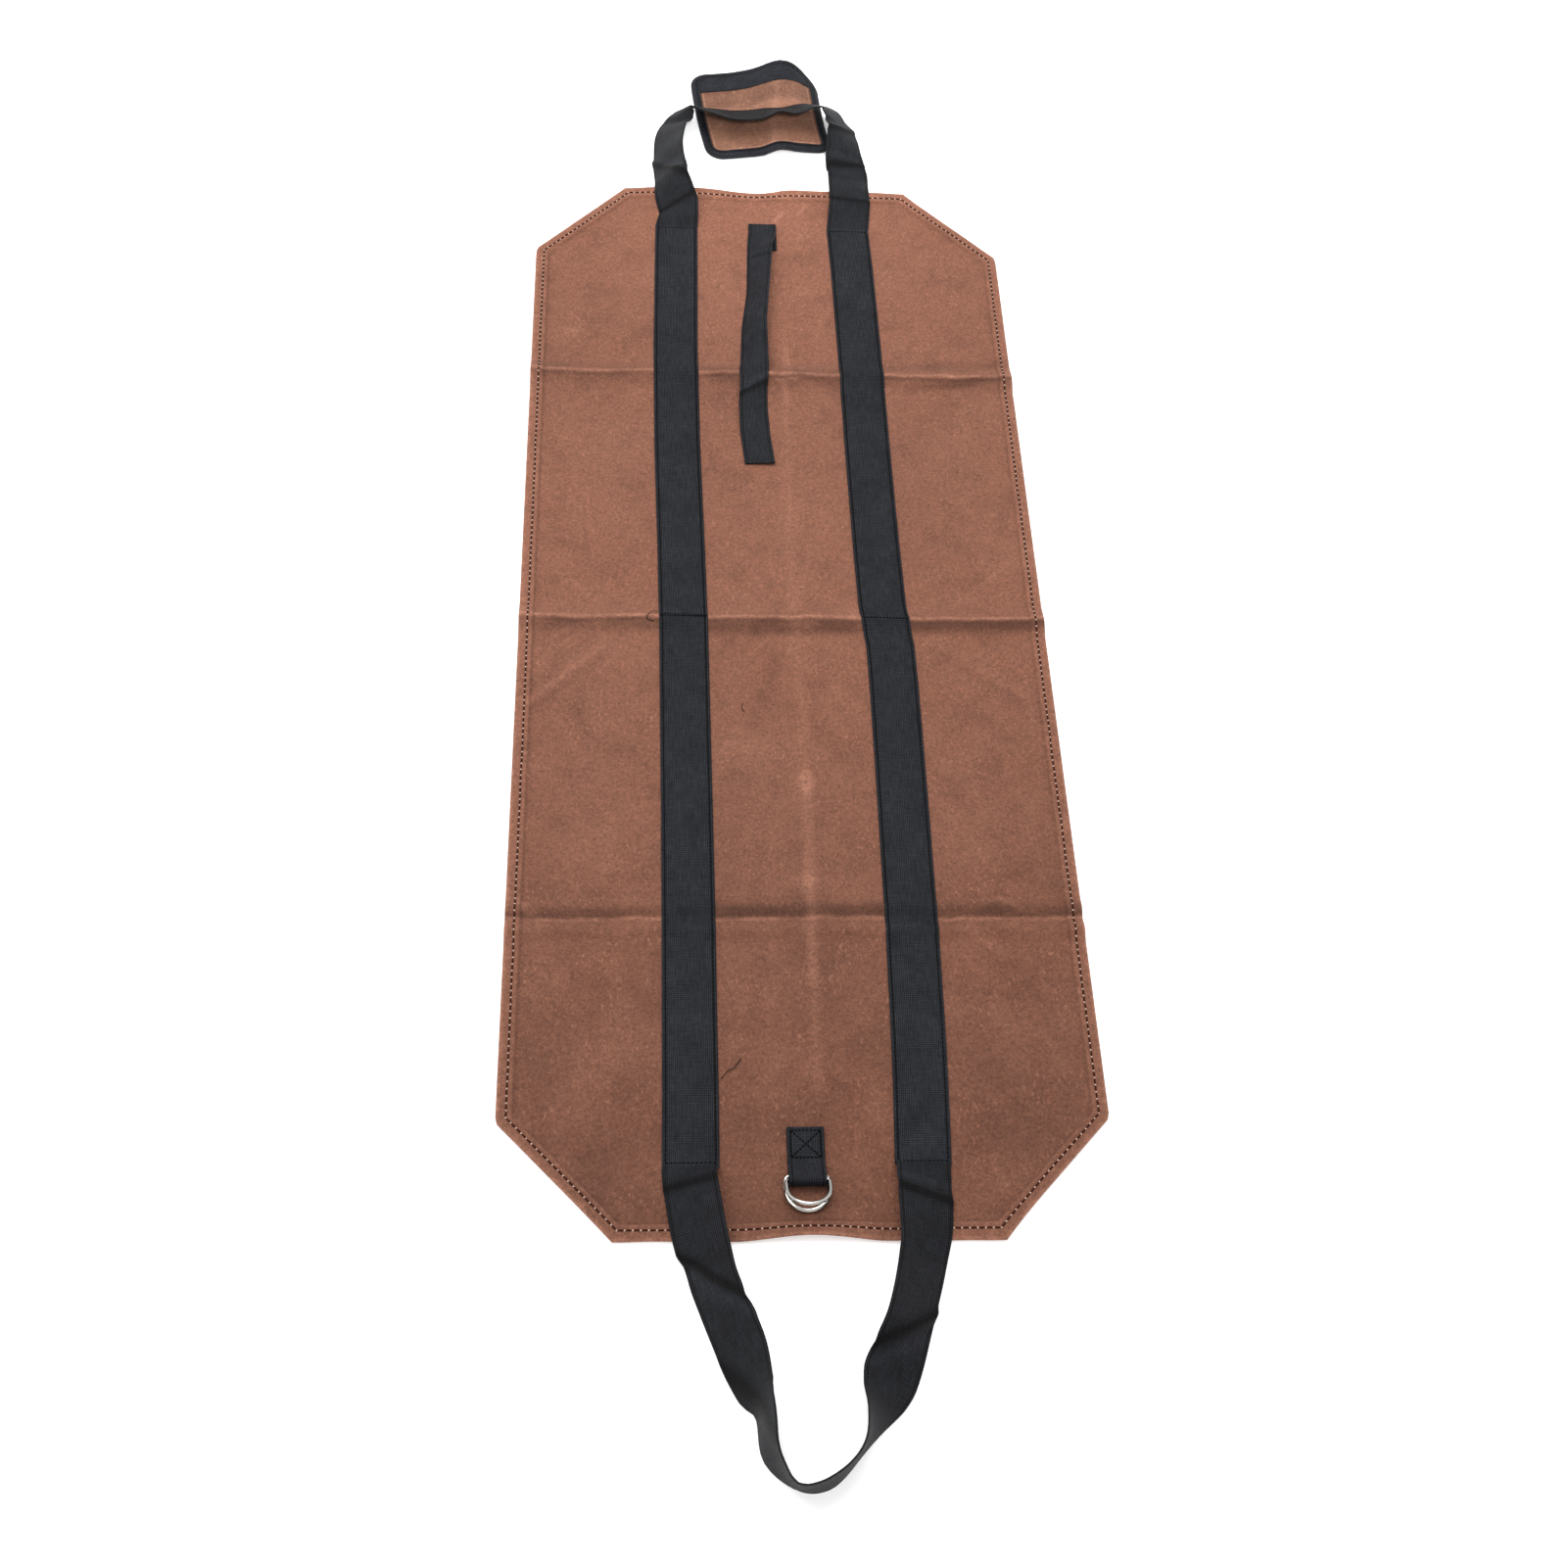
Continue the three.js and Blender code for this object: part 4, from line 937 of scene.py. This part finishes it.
def build_hem_stitches():
    """The seam round the hem: dark stitches, with small pale pieces between them as painted highlights at the needle
    holes.
    """
    pitch, size = sizes().stitch_pitch / MM, sizes().thread_size / MM
    slant = math.hypot(CUT_X, CUT_Y)
    side_x, side_y = HALF_W - HEM_SEAM, HALF_L - CUT_Y - HEM_SEAM * (slant - CUT_Y) / CUT_X
    end_x, end_y = HALF_W - CUT_X - HEM_SEAM * (slant - CUT_X) / CUT_Y, HALF_L - HEM_SEAM
    corners = [(side_x, side_y), (end_x, end_y), (-end_x, end_y), (-side_x, side_y)]
    corners += [(-x, -y) for x, y in corners]
    dark, pale = [], []
    for (x0, y0), (x1, y1) in zip(corners, corners[1:] + corners[:1]):
        far = math.hypot(x1 - x0, y1 - y0)
        count = round(far / pitch)
        for k in range(count):
            sway = 0.35 * wave(k * pitch, y0, 30, 2)
            for runs, first, last, rise in ((dark, 0.12, 0.86, 0.1), (pale, -0.1, 0.07, 0.15)):
                run = []
                for share in ((k + first) / count, (k + last) / count):
                    x = x0 + (x1 - x0) * share + (y1 - y0) / far * sway
                    y = y0 + (y1 - y0) * share + (x0 - x1) / far * sway
                    run.append((x, draw_back(x, y), canvas_faces(x, y)[0] + rise))
                runs.append(run)
    # Painted highlight: small pale pieces at the needle holes between the dark stitches
    lower = sewing_thread("needle_hole_highlight", colours().needle_hole_highlight)
    return [stitches("hem_stitches", dark, size, sewing_thread("hem_thread", colours().thread), 0.25),
            stitches("hem_needle_hole_highlights", pale, size * 0.85, lower, 0.1)]


def build_threads():
    """Loose ends of thread left on the canvas."""
    material = sewing_thread("loose_thread", colours().webbing, 0.5)
    runs = {
        "loose_thread_near": [(-56, -386, 2.0), (-52, -381, 2.6), (-47, -378, 2.8), (-42, -371, 2.0)],
        "loose_thread_speck": [(-34, -76, 1.9), (-35, -80, 2.3), (-33, -84, 1.9)],
        "loose_thread_join": [(-98, 8, 3.4), (-104, 7, 3.2), (-107, 1, 2.2), (-101, -1, 2.0)],
    }
    return [thread(name, [(x, y, z + canvas_lift(x, y) + relief(x, y)) for x, y, z in places], 0.5, material)
            for name, places in runs.items()]


# The belt

def strap_middle(column, y):
    return look_up(STRAPS, y / HALF_L, column) * HALF_SPACING


def sewn_stations(column, start, end, outward):
    """Middles of one strap on the panel."""
    made = []
    count = round(abs(end - start) / SEWN_STEP)
    for k in range(count + 1):
        y = start + (end - start) * k / count
        x = strap_middle(column, y)
        made.append(((x, y, canvas_lift(x, y) + CANVAS + GAP + BELT_T / 2), (outward, 0, 0)))
    return made


def build_belt():
    """One length of webbing: both straps and both handle loops."""
    parts = [
        ("sewn", sewn_stations(1, JOIN - JOIN_GAP / 2, -SEWN, -1)),
        ("near", resample(loop_stations(NEAR_LOOP, -1, NEAR_REACH), FINE_STEP)),
        ("sewn", sewn_stations(2, -SEWN, SEWN, 1)),
        ("far", resample(loop_stations(FAR_LOOP, 1, FAR_REACH), FINE_STEP)),
        ("sewn", sewn_stations(1, SEWN, JOIN + JOIN_GAP / 2, -1)),
    ]
    stations, spots = [], []
    for name, part in parts:
        if stations:
            bridge = resample([stations[-1], part[0]], SEWN_STEP)[1:-1]
            stations += bridge
            spots += [("bridge", 0)] * len(bridge)
        along = 0.0
        for i, station in enumerate(part):
            if i:
                along += math.dist(station[0], part[i - 1][0])
            stations.append(station)
            spots.append((name, along))

    def shift(i, share, point, face):
        where, along = spots[i]
        x, y, z = point
        if where == "sewn":
            # It follows the canvas, and its edge seams pull it in
            mid_x, mid_y, mid_z = stations[i][0]
            lift = relief(x, y) + canvas_lift(x, y) - canvas_lift(mid_x, mid_y) - 0.25 * (z - mid_z)
            pull = 0.3 * bell(abs(share) - 0.87, 0.05) if z > mid_z else 0
            puff = 0.25 * (1 - share * share) * (1 + wave(x, y, 14, 2.2))
            return point + UP * (lift - pull + puff + 0.05), 0
        # Painted shade on the bridges and along the loops, more in each loop's shaded stretch; creases paint shade
        # in their dips and highlight on their ridges
        if where == "bridge":
            return point + UP * relief(x, y) * 0.6, LOOP_PAINTED_SHADE
        middle, more, reach = SHADED[where]
        dark = LOOP_PAINTED_SHADE + more * bell(along - middle, reach)
        push = 0.9 * wave(along, share * BELT_W / 2, 26, 1 if where == "near" else 6)
        for s0, t0, s1, t1, deep, width in CREASES[where]:
            half = BELT_W / 2
            near_crease = bell(line_distance(along, share * half, s0, t0 * half, s1, t1 * half), width)
            push += deep * near_crease
            dark += clamp(-deep, -0.5, 1) * near_crease
        return (point + face * push if z + face.z * push > BELT_T / 2 else point), dark

    return strip("belt_strip", stations, BELT_W, BELT_T, webbing("belt_webbing", 1, 1, BELT_W), shift)


def build_belt_stitches():
    """Edge seams of the two straps and the seams across them."""
    def top(x, y):
        return canvas_lift(x, y) + relief(x, y) + CANVAS + GAP + BELT_T + 0.1

    runs = []
    for column in (1, 2):
        for side in (-STRAP_SEAM, STRAP_SEAM):
            for y0 in range(-SEAM_END, SEAM_END, 30):
                ends = [(strap_middle(column, y) + side, y) for y in (y0, min(y0 + 30, SEAM_END + 1))]
                runs += seam_line(*ends, EDGE_PITCH, top)
        for y in (1.5 - SEWN, SEWN - 1.5):
            x = strap_middle(column, y)
            runs += seam_line((x - 17, y), (x + 17, y), END_PITCH, top)
        x = strap_middle(column, JOIN)
        for y in (JOIN, JOIN + 2) if column == 1 else (JOIN,):
            runs += seam_line((x - 18, y), (x + 18, y - 1), CROSS_PITCH, top)
    return stitches("belt_stitches", runs, 0.85, sewing_thread("belt_thread", colours().webbing, 0.25), 0.2)


# The grip wrap

def build_wrap():
    """The open grip wrap's canvas."""
    edge = BINDING_T / WRAP_D
    grid = []
    for i in range(WRAP_ROWS + 1):
        v = edge + i / WRAP_ROWS * (1 - 2 * edge)
        shares, width = wrap_row(v, BINDING_T, WRAP_COLUMNS)
        row = []
        for u, inward in shares:
            x, y = u * WRAP_W, v * WRAP_D
            rim = min(inward * width * WRAP_W, min(v, 1 - v) * WRAP_D - BINDING_T)
            puff = 0.35 * wave(x, y, 13, 8) - 0.4 * bell(rim - 8, 2) + 0.3
            puff *= min(1, min(u, 1 - u, v, 1 - v) * 16)
            wear_and_highlight = 0.35 * bell(u - 0.53 - 0.2 * v, 0.03) + 0.3 * wave(x, y, 17, 3) + 0.9 * bell(rim - 8.3, 0.8)
            # Painted light on the wrap's lower half, where the belt across it shades it
            painted_light = smooth_step(0.62, 0.5, v) * (0.55 + 0.9 * smooth_step(0.2, 0.45, v))
            # Painted shade along the seam line inside the binding
            marks = (clamp(wear_and_highlight, 0, 1), clamp(1.2 * bell(rim - 6.7, 0.9), 0, 1), painted_light)
            row.append((wrap_offset(u, v, WRAP_T / 2 + puff - 0.1), wrap_offset(u, v, -WRAP_T / 2), (x, y), marks))
        grid.append(row)
    return cloth("grip_canvas", grid, waxed_canvas("grip_canvas", colours().grip, sizes().grain))


def build_binding():
    """Tape folded over the wrap's edge, a little puffed between its seam and its fold."""
    slot = WRAP_T / 2 + BINDING_GAP
    outer = slot + BINDING_T
    profile = [
        (-BINDING_W, slot + 0.3), (0.4 - BINDING_W, outer), (-6.2, outer + 0.05), (-5.2, outer - 0.3),
        (-3.6, outer + 0.15), (-1.6, outer + 0.1), (-0.5, outer - 0.3), (0, 0.9), (0.1, 0), (0, -0.9),
        (-0.5, 0.3 - outer), (-1.6, -outer), (-5.2, -outer), (-BINDING_W, -outer), (-BINDING_W, -slot),
        (-BINDING_T, -slot), (-BINDING_T, slot), (-BINDING_W, slot),
    ]
    border = wrap_border()
    points, uvs = [], []
    along = 0.0
    for i, (u, v, out) in enumerate(border):
        if i:
            along += math.hypot((u - border[i - 1][0]) * WRAP_W, (v - border[i - 1][1]) * WRAP_D)
        sway = 0.35 * wave(along, 0, 12, 5)
        for inward, height in profile:
            past = inward + BINDING_T + GAP + (sway if inward <= -5 else 0)
            points.append(wrap_offset(u + out[0] * past / WRAP_W, v + out[1] * past / WRAP_D, height))
            uvs.append((inward + (20 if height < 0 else 0), along))
    faces = skin(len(profile), len(border), closed=True)
    return new_mesh("binding_tape", points, faces, webbing("binding_tape", 1, 0.7, 14.8, 0.5), uvs)


def build_binding_stitches():
    """The seam that holds the binding."""
    height = WRAP_T / 2 + BINDING_GAP + BINDING_T - 0.1
    row = [wrap_offset(u - out[0] * BINDING_SEAM / WRAP_W, v - out[1] * BINDING_SEAM / WRAP_D, height)
           for u, v, out in wrap_border()]
    runs = [(a.lerp(b, 0.1), a.lerp(b, 0.85)) for a, b in zip(row, row[1:] + row[:1]) if (b - a).length > 1.2]
    return stitches("binding_stitches", runs, 0.6, sewing_thread("binding_thread", colours().webbing, 0.3), 0.1)


def build_tape():
    """The closure strip inside the far binding, with a short pile."""
    within = BINDING_W - BINDING_T
    far, near = 1 - within / WRAP_D, 1 - (BINDING_W + GAP + TAPE_W) / WRAP_D
    seat = WRAP_T / 2 + GAP
    grid = []
    for i in range(13):
        v = near + (far - near) * i / 12
        row = []
        for u, inward in wrap_row(v, within, 60)[0]:
            x, y = u * WRAP_W, v * WRAP_D
            rim = min(min(i, 12 - i) / 12 * TAPE_W, inward * WRAP_W)
            rise = TAPE_T * (0.55 + 0.45 * smooth_step(0, 1, rim)) - 0.35 * bell(rim - 2.2, 0.8)
            rise += 0.12 * wave(x, y, 3, 9) + 0.25
            row.append((wrap_offset(u, v, seat + rise), wrap_offset(u, v, seat), (y, x), ()))
        grid.append(row)
    return cloth("closure_tape", grid, webbing("closure_pile", 0.8, 0.6, 300, 0.9, 1.2))


# Tie strap, ring tab and rings

def build_tie():
    """The tie strap: a sewn stub, a fold at the top and the free run that lies back over it."""
    seat = CANVAS + GAP + TIE_T / 2
    fold_at = HALF_L - TIE_INSET
    turn = (TIE_T + GAP) / 2
    stations = [((TIE_X, y, seat), (1, 0, 0)) for y in (fold_at - TIE_STUB, fold_at - 8)]
    for k in range(7):
        angle = (k / 6 - 0.5) * math.pi
        stations.append(((TIE_X, fold_at + turn * math.cos(angle), seat + turn + turn * math.sin(angle)), (1, 0, 0)))
    for k in range(1, TIE_STEPS + 1):
        run = 0.02 + 0.98 * k / TIE_STEPS
        lean = math.radians(look_up(TIE_RUN, run, 2))
        x = TIE_X + look_up(TIE_RUN, run, 1) * TIE_W
        y = fold_at - run * TIE_L
        on_stub = 2 * turn * smooth_step(fold_at - TIE_STUB - 14, fold_at - TIE_STUB - 4, y)
        under = max(canvas_lift(x, y + d) for d in (-4, 0, 4))
        height = under + seat + on_stub + TIE_W / 2 * math.sin(abs(lean))
        stations.append(((x, y, height), (math.cos(lean), 0, math.sin(lean))))

    def shift(i, share, point, face):
        x, y, _ = stations[i][0]
        half = TIE_W / 2
        # Painted shade along the creases, a painted highlight where the amount is below 0
        dark = sum(amount * bell(line_distance(y, share * half, y0, s0 * half, y1, s1 * half), width)
                   for y0, s0, y1, s1, amount, width in TIE_CREASES)
        if i < 2:
            return point + UP * relief(point.x, point.y), 0
        free = smooth_step(0.02, 0.2, (fold_at - y) / TIE_L)
        push = 0.7 * wave(y, share * 12, 20, 4) * free
        push -= 2.4 * bell(line_distance(y, share * half, 257, 13, 236, -13), 3.5)
        bow = (1 - share * share) * free * smooth_step(1, 0.7, (fold_at - y) / TIE_L)
        return point + UP * (relief(x, y) + bow - push * 0.6), dark if i > 8 else 0

    return strip("tie_webbing", stations, TIE_W, TIE_T, webbing("tie_webbing", 1, 0.85, TIE_W), shift)


def build_tab():
    """Doubled webbing with its loop round the two ring bars, and its box and cross stitch."""
    tab_top = TAB_INSET - HALF_L
    sewn_end = tab_top - TAB_SEWN
    seat = CANVAS + GAP + TAB_T / 2
    top_seat = seat + TAB_T + GAP
    bar_y = sewn_end - BAR_DROP - BAR_PITCH
    bar_z = seat + TAB_T / 2 + GAP + RING_WIRE / 2 + BAR_RISE
    clear = RING_WIRE / 2 + TAB_T / 2 + 2 * GAP
    line = [(tab_top, seat), (sewn_end, seat), (sewn_end - BAR_DROP, seat),
            (bar_y - clear * 0.5, seat + 0.3), (bar_y - clear, seat + clear)]
    for k in range(1, 9):
        angle = math.pi - k / 8 * math.pi * 0.66
        line.append((bar_y + clear * math.cos(angle), bar_z + clear * math.sin(angle)))
    line += [(sewn_end - 1.5, top_seat + 0.4), (sewn_end, top_seat), (tab_top, top_seat)]
    stations = resample([((TAB_X, y, z), (1, 0, 0)) for y, z in line], TAB_STEP)

    def shift(i, share, point, face):
        return point + UP * relief(TAB_X, stations[i][0][1]) * 0.5, 0

    def top(x, y):
        return top_seat + TAB_T / 2 + 0.15 + relief(TAB_X, y) * 0.5

    tab = strip("tab_webbing", stations, TAB_W, TAB_T, webbing("tab_webbing", 1, 0.85, TAB_W), shift)
    left, right, near, far = TAB_X - 10, TAB_X + 10, sewn_end + 1.5, tab_top - 2.5
    a, b, c, d = (left, near), (right, near), (right, far), (left, far)
    runs = []
    for ends in ((a, b), (b, c), (c, d), (d, a), (a, c), (b, d)):
        runs += seam_line(*ends, CROSS_PITCH, top)
    return tab, stitches("tab_stitches", runs, 1.0, sewing_thread("tab_thread", colours().webbing, 0.12), 0.15)


# Operators

def dress(piece, node=None):
    """Fixes a piece to the carrier, in place of a solid where one is named."""
    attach(piece, "carrier")
    if node:
        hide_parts(node)


def lamp(kind, name, at, target, **settings):
    """A lamp turned towards its target."""
    bpy.ops.object.light_add(type=kind, location=at)
    made = bpy.context.object
    made.name = name
    made.rotation_euler = (Vector(target) - Vector(at)).to_track_quat("-Z", "Y").to_euler()
    for key, value in settings.items():
        setattr(made.data, key, value)


class CARRIER_OT_canvas(bpy.types.Operator):
    """Build the canvas panel and the seam of its hem"""
    bl_idname = "carrier.canvas"
    bl_label = "Canvas panel"

    def execute(self, context):
        sheet = build_canvas()
        dress(sheet, "canvas_panel")
        extras = build_hem_stitches() + build_threads()
        for extra in extras:
            dress(extra)
        return {"FINISHED"}


class CARRIER_OT_belt(bpy.types.Operator):
    """Build the webbing belt with its two handle loops"""
    bl_idname = "carrier.belt"
    bl_label = "Webbing belt"

    def execute(self, context):
        belt, seams = build_belt(), build_belt_stitches()
        dress(belt, "webbing_belt")
        dress(seams)
        return {"FINISHED"}


class CARRIER_OT_grip(bpy.types.Operator):
    """Build the open grip wrap, its binding and its closure strip"""
    bl_idname = "carrier.grip"
    bl_label = "Grip wrap"

    def execute(self, context):
        wrap, binding, seam, tape = build_wrap(), build_binding(), build_binding_stitches(), build_tape()
        dress(wrap, "grip_wrap")
        dress(binding, "grip_binding")
        dress(tape, "grip_tape")
        dress(seam)
        return {"FINISHED"}


class CARRIER_OT_ties(bpy.types.Operator):
    """Build the tie strap and the tab that holds the rings"""
    bl_idname = "carrier.ties"
    bl_label = "Tie strap and tab"

    def execute(self, context):
        tie, (tab, seams) = build_tie(), build_tab()
        dress(tie, "tie_strap")
        dress(tab, "ring_tab")
        dress(seams)
        return {"FINISHED"}


class CARRIER_OT_rings(bpy.types.Operator):
    """Give the two steel rings their plating"""
    bl_idname = "carrier.rings"
    bl_label = "Rings"

    def execute(self, context):
        steel = plated_steel("nickel_plated_steel", colours().steel)
        for name in ("d_ring_lower", "d_ring_upper"):
            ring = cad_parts[name].data
            ring.materials.clear()
            ring.materials.append(steel)
            for polygon in ring.polygons:
                polygon.use_smooth = True
        return {"FINISHED"}


class CARRIER_OT_stage(bpy.types.Operator):
    """Set up the floor, the light and the camera"""
    bl_idname = "carrier.stage"
    bl_label = "Floor, light and camera"

    def execute(self, context):
        scene, stage = context.scene, context.scene.carrier_stage
        bpy.ops.mesh.primitive_plane_add(size=stage.floor_size, location=(0, 0, -0.0002))
        floor = context.object
        floor.name = "floor"
        paint, tree, shader = new_material("pale_floor")
        connect(tree, shader, {
            "Base Color": (0.93, 0.93, 0.93, 1), "Roughness": 0.9, "Specular IOR Level": 0.0,
            "Emission Color": (1, 1, 1, 1), "Emission Strength": stage.floor_glow})
        floor.data.materials.append(paint)
        scene.world = bpy.data.worlds.new("studio")
        scene.world.use_nodes = True
        sky = scene.world.node_tree
        connect(sky, sky.nodes["Background"], {"Color": (1, 1, 1, 1), "Strength": stage.sky})
        lamp("AREA", "soft_light", (-0.35, 0.55, 2.0), (0, 0.1, 0),
             shape="RECTANGLE", size=2.2, size_y=1.8, energy=stage.light)
        lamp("SPOT", "fill_light", (0.05, -0.5, 1.1), (0, 0.645, 0),
             spot_size=math.radians(8.5), spot_blend=0.5, shadow_soft_size=0.2, energy=stage.fill)
        scene.view_settings.view_transform = "Standard"
        scene.view_settings.look = "None"
        bpy.ops.object.camera_add()
        camera = context.object
        camera.name = "camera"
        for key, value in (("sensor_fit", "HORIZONTAL"), ("sensor_width", 36), ("lens", CAMERA_LENS),
                           ("clip_start", 0.05), ("clip_end", 50)):
            setattr(camera.data, key, value)
        pitch, yaw, roll = (math.radians(angle) for angle in CAMERA_TURN)
        ahead = Vector((math.sin(yaw) * math.cos(pitch), math.cos(yaw) * math.cos(pitch), -math.sin(pitch)))
        right = Vector((math.cos(yaw), -math.sin(yaw), 0))
        up = right.cross(ahead)
        side = right * math.cos(roll) + up * math.sin(roll)
        top = up * math.cos(roll) - right * math.sin(roll)
        turn = Matrix((side, top, -ahead)).transposed().to_4x4()
        camera.matrix_world = Matrix.Translation(place(*CAMERA_PLACE)) @ turn
        scene.camera = camera
        return {"FINISHED"}


class CARRIER_PT_panel(bpy.types.Panel):
    """Sidebar with the carrier's sizes, colours and steps"""
    bl_idname = "CARRIER_PT_panel"
    bl_label = "Log carrier"
    bl_space_type = "VIEW_3D"
    bl_region_type = "UI"
    bl_category = "Carrier"

    def draw(self, context):
        for name in GROUPS:
            group = getattr(context.scene, name)
            box = self.layout.box()
            for key in group.__annotations__:
                box.prop(group, key)
        for step in STEPS:
            self.layout.operator(step.bl_idname)


GROUPS = {"carrier_sizes": CarrierSizes, "carrier_colours": CarrierColours, "carrier_stage": CarrierStage}
STEPS = (CARRIER_OT_canvas, CARRIER_OT_belt, CARRIER_OT_grip, CARRIER_OT_ties, CARRIER_OT_rings, CARRIER_OT_stage)
CLASSES = (*GROUPS.values(), *STEPS, CARRIER_PT_panel)


def register():
    for item in CLASSES:
        bpy.utils.register_class(item)
    for name, group in GROUPS.items():
        setattr(bpy.types.Scene, name, bpy.props.PointerProperty(type=group))


def unregister():
    for name in GROUPS:
        delattr(bpy.types.Scene, name)
    for item in reversed(CLASSES):
        bpy.utils.unregister_class(item)


def main():
    """Builds every piece in order."""
    register()
    bpy.ops.carrier.canvas()
    bpy.ops.carrier.belt()
    bpy.ops.carrier.grip()
    bpy.ops.carrier.ties()
    bpy.ops.carrier.rings()
    bpy.ops.carrier.stage()


if __name__ == "__main__":
    main()
